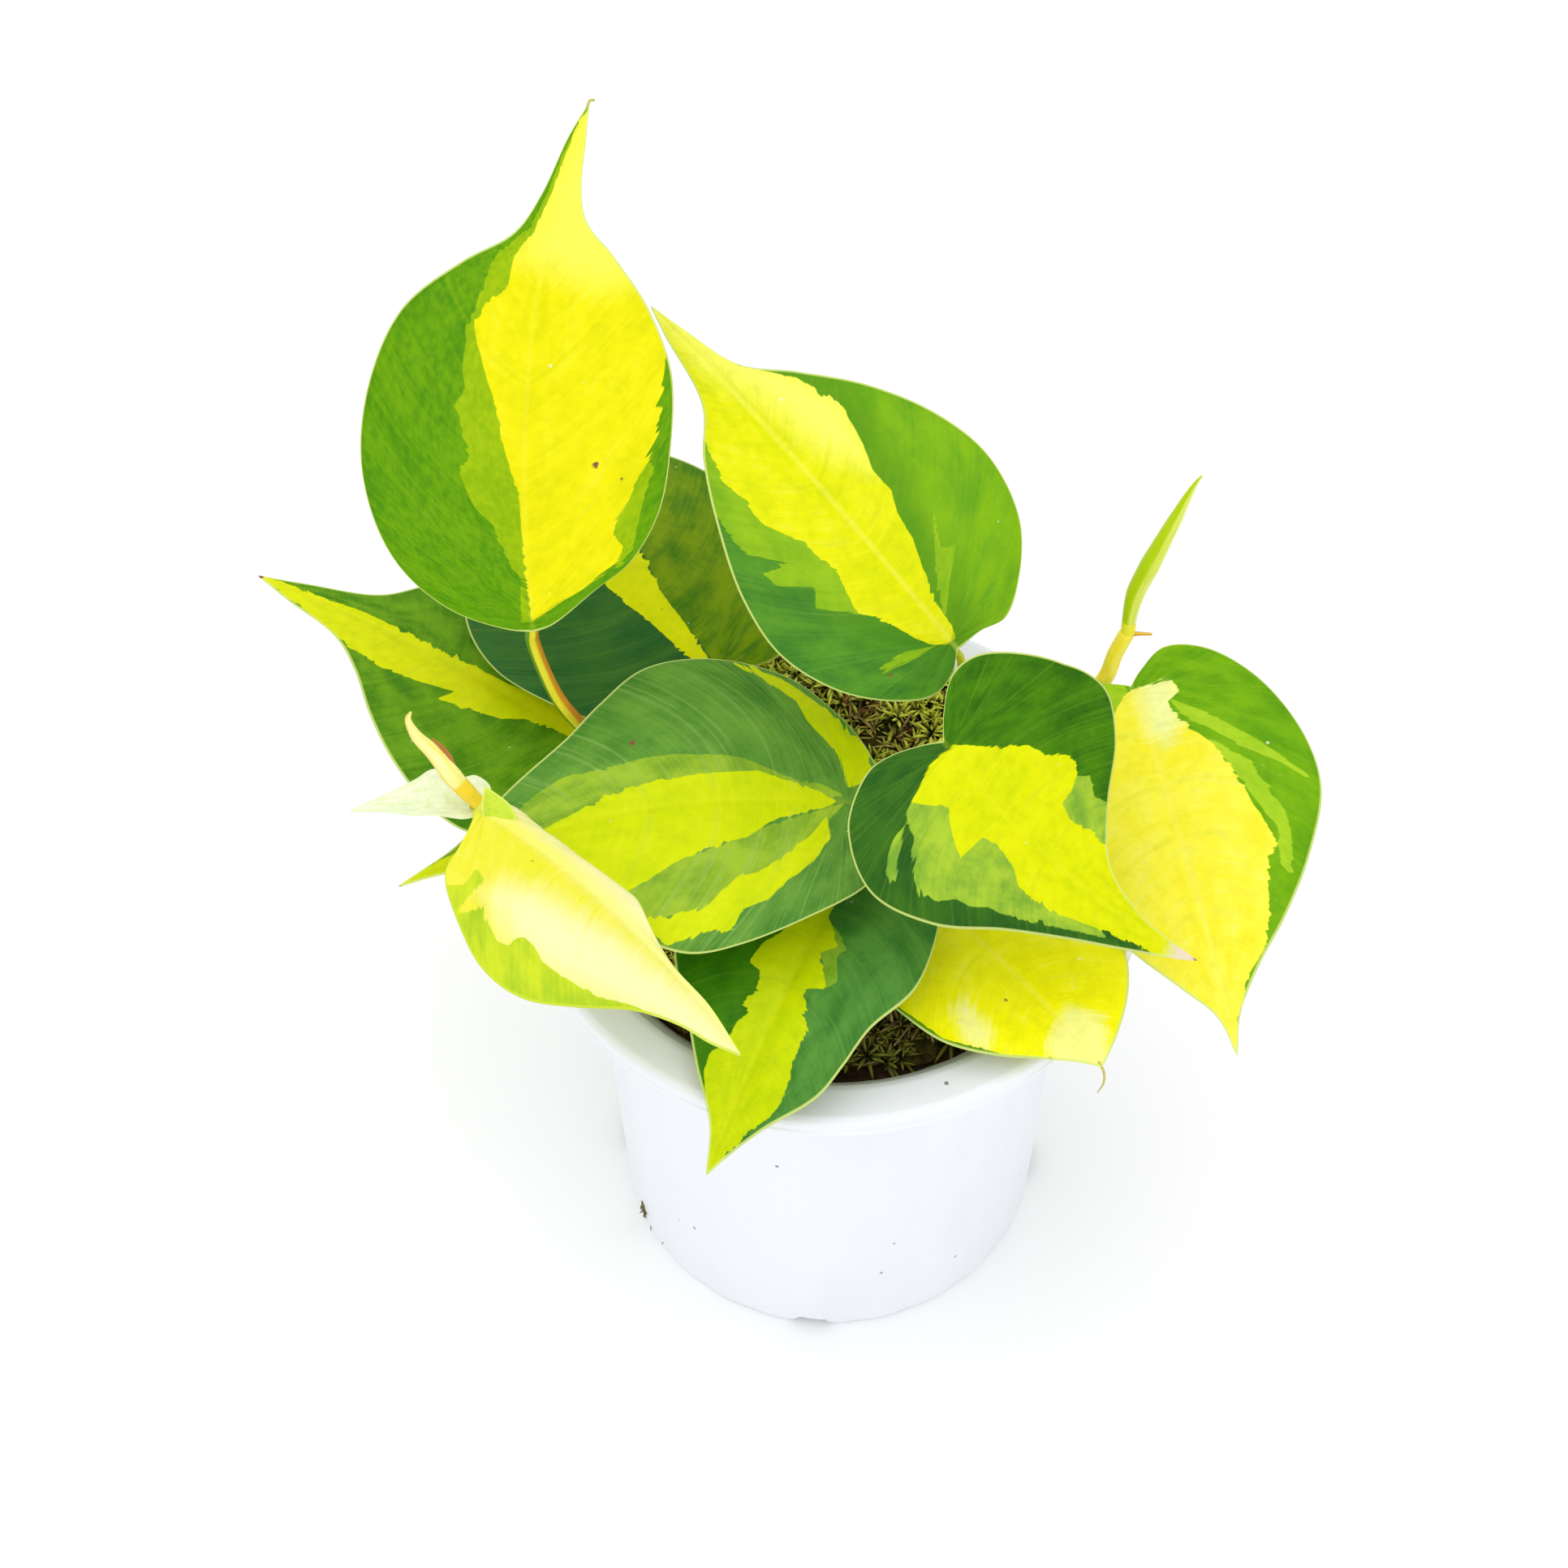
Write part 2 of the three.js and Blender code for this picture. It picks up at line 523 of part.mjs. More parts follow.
const leftVine = vineSolid(VINES.vine_left, VINE_RADIUS + GAP);
const shoot = solidOf(stalk(SHOOT.route, SHOOT.radii, BUD_MESH)).subtract(leftVine);
const shootRoom = solidOf(stalk(SHOOT.route, SHOOT.radii.map((r) => r + GAP), BUD_MESH));
const sheath = solidOf(blade(SHEATH, 0.5, 3)).subtract(leftVine).subtract(shootRoom);
addPiece("shoot_tip", geometryOf(largest(shoot)), COLOUR.yellow, 0.5);
addPiece("sheath", geometryOf(largest(sheath)), COLOUR.cream, 0.5);

const rightVine = vineSolid(VINES.vine_right, VINE_RADIUS + GAP);
const spear = solidOf(stalk(SPEAR.route, SPEAR.radii, SPEAR_MESH)).subtract(rightVine);
addPiece("rolled_leaf", geometryOf(largest(spear)), COLOUR.lime, 0.4);

export default plant;
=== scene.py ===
# The looks of a potted brasil philodendron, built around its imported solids.
# Shapes are worked out in millimetres, in the solids' frame, and put into meshes in metres.
import math

import bpy
import numpy as np
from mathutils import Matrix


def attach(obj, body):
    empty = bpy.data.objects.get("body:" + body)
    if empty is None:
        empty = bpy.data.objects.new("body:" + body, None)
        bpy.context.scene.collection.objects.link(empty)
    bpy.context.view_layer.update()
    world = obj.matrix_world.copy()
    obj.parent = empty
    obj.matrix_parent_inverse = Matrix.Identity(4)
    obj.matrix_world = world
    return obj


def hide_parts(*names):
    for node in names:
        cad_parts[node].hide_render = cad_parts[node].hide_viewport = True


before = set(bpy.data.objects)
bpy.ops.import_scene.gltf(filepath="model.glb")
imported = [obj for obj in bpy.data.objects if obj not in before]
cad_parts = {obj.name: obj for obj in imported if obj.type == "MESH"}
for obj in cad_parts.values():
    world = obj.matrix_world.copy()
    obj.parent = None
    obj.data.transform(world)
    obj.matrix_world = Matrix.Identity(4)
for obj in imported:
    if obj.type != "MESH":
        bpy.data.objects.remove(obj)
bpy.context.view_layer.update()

MM = 0.001
RNG = np.random.default_rng(29)

# Pot, in mm and degrees
POT_HEIGHT = 116
RIM_RADIUS = 62.5
RIM_DEPTH = 4
CREST_RADIUS = 54.4
SHOULDER_DEPTH = 7
WALL_TOP_RADIUS = 49.8
FOOT_RADIUS = 44.8
WALL = 1.6
FOOT_RING_WIDTH = 3
FLOOR_UNDERSIDE = 2.4
FLOOR_THICKNESS = 2
CENTRE_PAD_RADIUS = 8
DRAIN_HOLES = {"count": 5, "radius": 4, "circle": 26}
NOTCHES = {"count": 4, "width": 9, "top_width": 6, "height": 2.6, "first": -95}
WALL_FLATS = 24
FLAT_DEPTH = 0.3
POT_TURNS = 600

# Filling, in mm
SOIL_TOP = POT_HEIGHT - 9
MOSS_BOTTOM = SOIL_TOP + 0.3
MOSS_THICKNESS = 2.6
BANK_HEIGHT = 5.4
TUFT_PLACES, TUFT_NEEDLES = 620, 15
TUFT_NEEDLE_LENGTH, TUFT_NEEDLE_WIDTH = 5.2, 0.98
STRAND_COUNT = 480
SLIVER_SHARE = 0.16
SPRIG_NEEDLES, SPRIG_THREADS = 30, 3

# Leaves and stems, in mm
BLADE_THICKNESS = 0.6
SHEATH_THICKNESS = 0.5
EAR_THICKNESS = 0.4
SINUS_DEPTH = 2
HALF_WIDTH_UNIT = 30
SPINE_STEPS = 60
LOBE_SHARE = 0.34
RIB_POWER = 1.15
VEIN_BOW = 0.16
RIB_COUNT = 9
PETIOLE_RADIUS = 1.45
VINE_RADIUS = 2.0
SLENDER_VINE_END_RADIUS = 1.6
STALK_STEPS = 60
VINE_STEPS = 200
CELLS_ALONG = 150
CELLS_OUT = 30

# Stage, in mm, degrees and watts
FLOOR_HALF = 3000.0
SKY_STRENGTH = 0.89
LIGHTS = {
    "overhead": dict(place=(-150, 0, 1400), aim=(0, 0, 120), size=1500, power=7),
    "front_fill": dict(place=(300, -1300, 700), aim=(0, 0, 100), size=900, power=2),
}
# The pot in the photo fits focal lengths from 2,400 to 8,000 pixels alike; 5,000 was chosen.
PHOTO_PIXELS, FOCAL_PIXELS, SENSOR_WIDTH = 1932, 5000, 36
CAMERA_ELEVATION, CAMERA_DISTANCE = 55, 792
CAMERA_TARGET = [-10, 0, 141]

# Each leaf: "at" is where the stalk meets the blade. From there the midrib runs for "length",
# towards "heading" (degrees from +X in plan) and upwards at "pitch". Over its length it turns by
# "bend" upwards and by "sweep" sideways. The blade is turned about the midrib by "roll", and each
# half [left, right] rises from it at "fold" and turns further by "curl" over HALF_WIDTH_UNIT.
# "left" and "right" are the edge of each half, [along the midrib, out from it], base to tip.
# "yellow" and "mid" are outlines of the colour patches on the flat blade, [along, out to the left];
# the rest of the blade is dark. "cream" outlines pale places in the yellow, and "blemishes" are brown
# spots, [along, out to the left, radius]. "dry" is the length of the dried tip, "slim" the stalk's
# radius at the blade as a share of that at its foot, and "ripple" how far the margin waves, in mm.
LEAVES = {
    "leaf_top_left": dict(
        slot="leaf_lime", at=[-58.7, 20.8, 166],
        length=108, heading=97, pitch=35, bend=-24, sweep=-25, roll=-5, fold=[6, 6], curl=[-14, -14],
        left=[[-1, 5], [4, 16], [14, 26], [30, 32], [46, 32], [60, 27], [70, 16], [77, 7], [86, 3.5],
              [100, 1.5]],
        right=[[-1, 4], [5, 13], [10, 20], [20, 26], [34, 28.5], [50, 28], [64, 22], [74, 14], [82, 6.5],
               [100, 2]],
        petiole=[[-26, 15, 120], [-36, 16.5, 123], [-43.7, 17.5, 126], [-50.4, 19.1, 134],
                 [-54.5, 19.7, 142], [-57.4, 21, 151], [-59, 21.5, 160]],
        yellow=[[[0, 0], [10, 0.5], [24, 1], [34, 4], [42, 6], [50, 9], [58, 12], [62, 9], [66, 6],
                 [72, 6], [78, 3], [86, 1.5], [104, 0.5], [112, -3], [85, -14], [66, -26], [55, -27],
                 [46, -26.5], [38, -26], [31, -24], [22, -20], [19, -18], [16, -17], [13, -19],
                 [10, -17], [5, -10]]],
        mid=[[[0, 2], [8, 1.5], [13, 4], [18, 6], [23, 10], [30, 13], [31, 11], [36, 12], [42, 14],
              [45, 12], [49, 13], [58, 13], [64, 11], [70, 10], [74, 8], [78, 4], [85, 2.6], [104, 0.5],
              [50, 0], [0, 0]],
             [[31, -22], [22, -18], [14, -16], [10, -16], [9, -18], [14, -21], [22, -23], [30, -25.4]]],
        cream=[[[72, 5], [104, 2], [112, -2], [84, -12], [70, -20], [66, -12]]],
        blemishes=[[30, -14, 0.9], [27, -19, 0.4]],
    ),
    "leaf_top_right": dict(
        slot="leaf_green", at=[22.1, 15.3, 167],
        length=94, heading=134, pitch=25, bend=-28, sweep=-8, roll=-10, fold=[8, 8], curl=[-14, -14],
        left=[[-5, 4], [-6, 10], [-2, 17], [6, 24], [18, 28], [31, 26.5], [45, 21], [58, 14], [68, 6.5],
              [85, 2.5]],
        right=[[-2, 6], [-3, 11], [1, 18], [10, 26], [24, 29.5], [38, 27], [50, 21], [61, 12], [70, 4.5],
               [84, 1.5]],
        petiole=[[24, 20, 90], [24, 20, 106], [25, 19, 129], [24.8, 17.5, 152], [24, 16.3, 161]],
        slim=0.55,
        yellow=[[[0, -1], [2, -2], [8, -2.5], [12, -4], [20, -7], [26, -8], [30, -10], [36, -10],
                 [41, -12], [50, -14], [60, -11], [70, -4.2], [84, -2], [96, -3], [96, 5], [75, 8],
                 [67, 9], [60, 12], [52, 14], [40, 14], [36, 12], [32, 10], [28, 10], [24, 9], [20, 10],
                 [16, 11], [11, 8], [6, 6], [2, 4], [0, 1]]],
        cream=[[[36, -10], [42, -13], [52, -15.5], [62, -12], [74, -6], [96, -3], [96, 2], [74, 1],
                [60, -3], [46, -5]]],
        mid=[[[12, 7], [18, 14], [21, 17], [24, 14], [29, 20], [33, 21.4], [30.5, 14.6], [37, 20.6],
              [47, 20], [56, 17], [68, 9], [52, 10], [30, 8]],
             [[3, -1], [12, -6], [23, -14.5], [15, -10], [14, -13], [9, -7]],
             [[1, 3], [4, 9], [4, 14.5], [3, 15], [2, 9]]],
        blemishes=[[2, 14, 0.5]],
    ),
    "leaf_back": dict(
        slot="leaf_green", at=[-24.6, 30.1, 136],
        length=79, heading=122, pitch=5, bend=-20, sweep=0, roll=-7, fold=[-4, -4], curl=[-8, -8],
        left=[[-3, 7], [-3, 14], [3, 22], [14, 29], [30, 34.5], [45, 33.5], [57, 26], [66, 13], [73, 4]],
        right=[[-2, 7], [-3, 14], [4, 22], [16, 27], [32, 29], [46, 27], [57, 22], [66, 12], [73, 4]],
        petiole=[[-13, 14, 115], [-15, 17, 120], [-18, 21, 128], [-22.4, 27, 133.5]],
        yellow=[[[-1, 0], [3, -1.6], [14, -2], [23, -2], [29, -3], [34, -4], [44, -5], [60, -3], [80, 0],
                 [60, 5], [45, 8], [31, 6], [24, 5], [20, 4], [14, 3], [6, 1.6]]],
        mid=[[[0, 0], [3, -2], [23, -2], [34, -4], [60, -3], [80, 0], [70, -30], [20, -40], [-10, -30],
              [-8, -6]]],
        blemishes=[[20, 6, 0.5], [19, 0, 0.4], [28, 8, 0.5], [42, 33, 0.6], [26, -14, 0.4]],
    ),
    "leaf_left": dict(
        slot="leaf_green", at=[-50.8, 24.9, 121],
        length=87, heading=145, pitch=5, bend=-22, sweep=0, roll=0, fold=[6, 6], curl=[-12, -12],
        left=[[-7, 6], [-9, 14], [-5, 23], [4, 31], [14, 31.5], [27, 27], [39, 20], [49, 12.5],
              [58, 7.5], [76, 3]],
        right=[[-7, 6], [-9, 13], [-5, 20], [6, 26], [20, 27], [36, 22], [49, 15], [58, 7], [75, 2]],
        petiole=[[-20, 11, 90], [-21, 11.5, 107], [-32, 15, 115], [-44, 20.5, 119.5]],
        yellow=[[[0, 0], [3, -2], [8, -3.5], [21, -2], [36, -1.3], [57, -1.5], [69, -0.6], [80, -0.6],
                 [88, 0], [80, 2], [70, 4], [64, 6], [55, 8], [44, 9], [36, 8], [28, 6], [30, 9.5],
                 [22, 8], [16, 6], [12, 3], [8, 2], [2, 1]]],
        mid=[[[0, 0], [20, -40], [80, -20], [95, 0], [80, 20], [20, 40], [-20, 30], [-20, 10]]],
        blemishes=[[62, 3, 0.4], [48, 17, 0.5], [44, 19, 0.4], [41, 21, 0.5], [86, 0, 0.8]],
    ),
    "leaf_centre": dict(
        slot="leaf_lime", at=[2.3, -4.9, 142],
        length=89.7, heading=177.5, pitch=6, bend=-22, sweep=24, roll=0, fold=[8, 8], curl=[-16, -16],
        left=[[-6, 6], [-8, 13], [-3, 21], [8, 28], [22, 33], [35, 34], [47, 28], [57, 18], [66, 8],
              [79, 2.5]],
        right=[[-6, 5], [-4, 11], [3, 21], [12, 30], [25, 34.5], [36, 33.5], [45, 26], [52, 19],
               [64, 10.5], [76, 3]],
        petiole=[[8, 11, 90], [8, 10, 110], [8.5, 4, 128], [6.5, -3, 138]],
        yellow=[[[2, 0], [6, -2], [12, -4], [17, -6], [30, -6], [41, -5], [46, -4], [52, -2], [60, 0],
                 [72, -1.5], [92, -1], [92, 2], [66, 13], [57, 19], [47, 20], [41, 18], [36, 15],
                 [28, 12], [20, 10], [15, 6], [10, 4], [4, 2]],
                [[22, -33.5], [15, -28], [10, -23], [8, -18], [5, -14], [2, -10], [0, -3], [-3, -4.5],
                 [-4.6, -8], [-3, -12.5], [3, -19.8], [12, -28.6], [19, -32.8]],
                [[4, 4], [7, 9], [12, 14], [18, 18], [24, 20], [30, 25], [37, 26], [44, 26],
                 [51, 22.5], [47, 27], [39, 32], [33, 31], [24, 30], [22, 26], [16, 24], [12, 20],
                 [7, 16], [3, 10]]],
        mid=[[[0, -1], [5, -3.4], [10, -4], [14, -6], [20, -9], [24, -10], [32, -11], [38, -11],
              [46, -10], [54, -10], [59, -8], [64, -5], [80, -2], [60, 1], [20, 1]],
             [[0, 0], [4, 2], [20, 9], [47, 19], [62, 15], [44, 27], [30, 26], [18, 19], [7, 10]]],
        blemishes=[[40, -15, 0.7]],
    ),
    "leaf_young": dict(
        slot="leaf_cream", at=[-66.3, -19.7, 160],
        length=68, heading=-33.6, pitch=-6, bend=-14, sweep=-18, roll=-26, fold=[15, -2],
        curl=[-200, -10],
        left=[[-2, 4], [1, 7], [8, 12], [16, 14], [26, 11.5], [36, 4.5], [46, 1.6], [56, 1]],
        right=[[0, 5], [2, 12], [4, 19], [11, 26], [23, 31.5], [34, 30], [43, 23], [51, 12.5], [57, 7],
               [63, 4]],
        petiole=[[-69, -6, 143.5], [-65, -11.5, 150], [-64.6, -17, 156.5]],
        yellow=[[[-20, 60], [-20, -20], [4, -21], [7, -22], [9, -20], [8.4, -17], [8.4, -14.6],
                 [10.5, -15.6], [11.2, -19], [12, -25], [13, -27], [14.4, -23], [15, -21], [17, -23],
                 [19, -23.5], [22, -25], [24.4, -24], [24, -21.6], [25, -20], [27.5, -20],
                 [31, -21.5], [35.5, -21], [39, -20], [43.5, -18.5], [46, -16.5], [49.5, -13],
                 [56, -9], [90, -2], [90, 60]]],
        mid=[[[-20, -60], [90, -60], [90, 60], [-20, 60]]],
        # The first cream outline covers the rolled-under left half. There the cream is partly the leaf's
        # own pale colour and partly a painted highlight on the convex roll. The second outline is cream
        # within the blade itself.
        cream=[[[-4, 2], [6, 2.6], [12, 2], [18, 1.6], [24, 1], [31, 0.4], [41, 0], [56, -0.6],
                [66, 0], [60, 12], [-6, 30]],
               [[13, -18], [15, -12], [20, -9], [28, -7], [36, -4], [44, -2], [52, 0], [70, 3],
                [70, -5], [56, -12], [48, -17], [41.5, -20], [34.5, -23], [28.5, -23], [22, -23]]],
        ripple=0.9,
        blemishes=[[14, -4, 0.4]],
    ),
    "leaf_middle_right": dict(
        slot="leaf_lime", at=[21.1, -12.5, 170],
        length=66.4, heading=-44.8, pitch=-33, bend=-4, sweep=40, roll=20, fold=[4, 4],
        curl=[-14, -14],
        left=[[-6, 3], [-11, 9], [-11, 15], [-4, 24], [6, 30], [15, 31], [24, 26], [31, 16], [39, 7],
              [50, 2.5]],
        right=[[-4, 4], [-6, 10], [-6, 15], [0, 24], [10, 28.5], [20, 24.5], [30, 16], [40, 10],
               [52, 5]],
        petiole=[[18.5, 9, 113], [23, 7, 124], [22.5, 0, 146], [20.2, -9, 165]],
        yellow=[[[0, 0], [-0.5, 1], [2, 4], [6, 8], [9, 12], [14, 14], [18, 17], [21, 16.6],
                 [23, 12.5], [23, 9.4], [27, 8.2], [31.5, 9.4], [36, 9], [45, 6.4], [68, 1],
                 [68, -2], [45, -4.6], [40, -6], [33, -8], [27, -8], [24, -6], [19, -5], [16, -6],
                 [16, -12], [12, -10], [8, -7], [5, -10], [3, -12], [2, -9], [0, -5], [-0.5, -2]]],
        mid=[[[2, -9], [4, -14], [8, -16], [12, -20], [16, -22], [18, -21], [20, -18], [23, -17],
              [25, -15], [28, -14], [32, -12], [38, -9], [46, -5.5], [40, -3], [20, -3], [8, -5]],
             [[5, -14.5], [8, -19], [11, -24], [9, -24], [6, -19]],
             [[20, 14], [22, 8], [30, 7], [38, 8], [37, 11], [33, 15.4], [28, 15.4], [24, 17]]],
        dry=7,
    ),
    "leaf_right": dict(
        slot="leaf_yellow", at=[60.3, 28.6, 132],
        length=79, heading=-76.6, pitch=0, bend=-26, sweep=0, roll=4, fold=[4, 4], curl=[-16, -16],
        left=[[-5, 3], [-9, 9], [-7, 17], [1, 25], [14, 30], [29, 30.5], [43, 24], [54, 16], [63, 8],
              [71, 2.5]],
        right=[[-4, 5], [-7, 11], [-4, 18], [4, 24], [16, 27.5], [32, 27], [44, 22], [55, 15],
               [64, 7.5], [71, 2]],
        petiole=[[37, 20, 118.5], [44, 22, 122], [51.5, 25.5, 127], [57.5, 29, 130]],
        yellow=[[[-1, 0], [-1, 3], [-1, 8], [2, 9], [4, 6], [6, 6], [12, 9], [16, 12], [22, 14],
                 [26, 15], [31, 16], [36, 18], [40, 18], [42, 16], [48, 14], [53, 13], [60, 10],
                 [64, 6], [72, 2], [82, 0], [70, -12], [50, -26], [30, -36], [8, -30], [7, -14],
                 [5, -6], [0, -2]]],
        cream=[[[-4, 1], [-4, 10], [3, 10], [10, 7], [14, 3], [10, 0]]],
        mid=[[[3, 6], [8, 8], [16, 16], [27, 28], [26, 29], [17, 21], [8, 12]],
             [[14, 11], [20, 13], [28, 16], [36, 19], [44, 18], [47, 19], [38, 22], [30, 21], [20, 17]],
             [[-1, -1], [6, -6], [8, -12], [8, -30], [-12, -30], [-12, -4]]],
    ),
    "leaf_front": dict(
        slot="leaf_green", at=[3.7, -10.6, 129],
        length=70.3, heading=-115.3, pitch=6, bend=-40, sweep=0, roll=6, fold=[12, 12],
        curl=[-12, -12],
        left=[[-6, 5], [-7, 12], [0, 19], [10, 23], [24, 24.5], [34, 20], [42, 18], [49, 15.5],
              [58, 8], [66, 2.5]],
        right=[[-6, 5], [-7, 12], [0, 20], [12, 26], [24, 27], [35, 22], [44, 15], [52, 9.5], [61, 3]],
        petiole=[[-1, 12, 90], [-0.5, 11, 108], [2, 3.5, 121], [4.6, -4.5, 127.5]],
        yellow=[[[0, 0], [8, 1], [14, 1], [16, 3], [20, 6], [22, 3], [26, 6], [29, 8], [30, 4],
                 [34, 6], [38, 8], [44, 8], [48, 9], [53, 9], [56, 8], [60, 5], [71, 0.5], [71, -0.5],
                 [64, -2], [60, -4], [56, -6], [52, -8], [48, -8], [46, -6], [42, -6], [39, -5],
                 [36, -6], [34, -5], [30, -6], [29, -9], [24, -8], [21, -6], [12, -3]]],
        mid=[[[15, 2], [19, 8], [22, 7], [27, 9.5], [29, 8], [26, 6], [22, 3]]],
    ),
    "leaf_lower_right": dict(
        slot="leaf_yellow", at=[12.6, -8, 121],
        length=58, heading=-44, pitch=5, bend=-14, sweep=-8, roll=-4, fold=[6, 6], curl=[-8, -8],
        left=[[-5, 5], [-6, 10], [0, 17], [10, 23], [22, 25], [34, 23], [43, 19.5], [49, 14.4],
              [54, 7.5]],
        right=[[-4, 5], [-5, 10], [1, 18], [12, 24], [24, 24.5], [35, 22.5], [45, 15], [51, 8],
               [55, 3]],
        petiole=[[-3, -4, 90], [-2.5, -4, 108], [2, -3, 116], [8, -5, 120]],
        yellow=[[[-20, 60], [70, 60], [70, -10], [56, -3.6], [51, -8], [45, -14.6], [35, -22],
                 [24, -24], [12, -23.5], [1, -17], [-20, -20]]],
        cream=[[[44, 3], [48, -7], [52, -8], [60, -1], [57, 3], [50, 7]],
               [[30, -12], [40, -13], [43, -17], [38, -19], [31, -16]]],
        blemishes=[[36, -6, 0.4], [22, 4, 0.4], [30, -14, 0.3]],
    ),
}

SHEATH = dict(
    at=[-68.6, -12.4, 150.6],
    length=24.5, heading=177, pitch=2, bend=-8, sweep=5, roll=10, fold=[24, 24], curl=[10, 10],
    left=[[-0.5, 2.6], [2, 4.8], [7, 4.8], [13, 3.2], [20, 1.4]],
    right=[[-1.5, 2], [-2, 4.4], [1, 6.6], [3.4, 6.2], [5, 7.2], [9, 7.6], [12, 5.6], [17, 3.2],
           [22, 1]],
    yellow=[[[-9, -9], [40, -9], [40, 9], [-9, 9]]],
)
EAR = dict(
    at=[-65.2, -20.4, 159.8],
    length=5.6, heading=98, pitch=40, bend=-14, sweep=10, roll=12, fold=[20, 14], curl=[20, -30],
    left=[[-1, 1.6], [1.5, 1.8], [4, 1]],
    right=[[-3, 3], [-1, 4.6], [1.6, 3.6], [4, 1.4]],
)
SPEAR_ROUTE = [[58.8, 36.4, 142.6], [58.9, 36.7, 146], [59.8, 37.8, 153], [62.2, 38.7, 161],
               [65.7, 40, 172], [68.1, 40.7, 180], [69.4, 40.8, 184], [70.2, 40.6, 186]]
SPEAR_RADII = [1.5, 1.5, 1.9, 2.1, 1.5, 0.8, 0.4, 0.16]
SHOOT_ROUTE = [[-67.4, -13.4, 152.3], [-69.6, -12.6, 155], [-73, -10.8, 159], [-76.2, -8.4, 163],
               [-79.6, -6.9, 167], [-80.9, -5.3, 170], [-80.4, -4.6, 171]]
SHOOT_RADII = [1.45, 1.45, 1.9, 1.6, 1.1, 0.6, 0.25]
VINES = {
    "vine_back": [[-6, 8, 88], [-6, 9, 104], [-9, 12, 112], [-15, 14.5, 116], [-23, 15, 119],
                  [-27, 15, 120]],
    "vine_left": [[-16, -2, 88], [-17, -2, 104], [-26, 1, 112], [-40, 3, 117.5], [-53, 2.5, 123],
                  [-63, 1.5, 129], [-68.3, -1.5, 136], [-69.5, -7, 144], [-68.4, -11.6, 150]],
    "vine_right": [[14, 6, 88], [14, 7, 104], [20, 9.5, 111], [30, 15.5, 116], [41, 23, 120.5],
                   [50.5, 30.5, 124.5], [55.3, 34.6, 130], [56.6, 35.4, 136], [58.5, 36.2, 141.6]],
}
VINE_JOINTS = {"vine_back": [0.45, 0.9], "vine_left": [0.3, 0.52, 0.74, 0.95],
               "vine_right": [0.25, 0.5, 0.72]}
# How a dried thread falls from the tip of its leaf
THREAD_FALLS = {"leaf_lower_right": [-0.6, -0.5, -8.5], "leaf_top_left": [0.8, 0.2, 0.4]}


def colour(red, green, blue):
    """A display colour from 0 to 255 as the linear colour that shaders take."""
    share = np.array([red, green, blue]) / 255
    linear = np.where(share <= 0.04045, share / 12.92, ((share + 0.055) / 1.055) ** 2.4)
    return (*[float(c) for c in linear], 1.0)


# Shader maths


class Wire:
    """A shader socket with arithmetic: each operator adds its Math node to the finish."""

    def __init__(self, finish, socket):
        self.finish = finish
        self.socket = socket

    def math(self, operation, *others):
        return self.finish.node("ShaderNodeMath", {"operation": operation}, dict(enumerate(others)))

    def __add__(self, other):
        return self.math("ADD", self, other)

    def __radd__(self, other):
        return self.math("ADD", other, self)

    def __sub__(self, other):
        return self.math("SUBTRACT", self, other)

    def __rsub__(self, other):
        return self.math("SUBTRACT", other, self)

    def __mul__(self, other):
        return self.math("MULTIPLY", self, other)

    def __rmul__(self, other):
        return self.math("MULTIPLY", other, self)

    def __abs__(self):
        return self.math("ABSOLUTE", self)


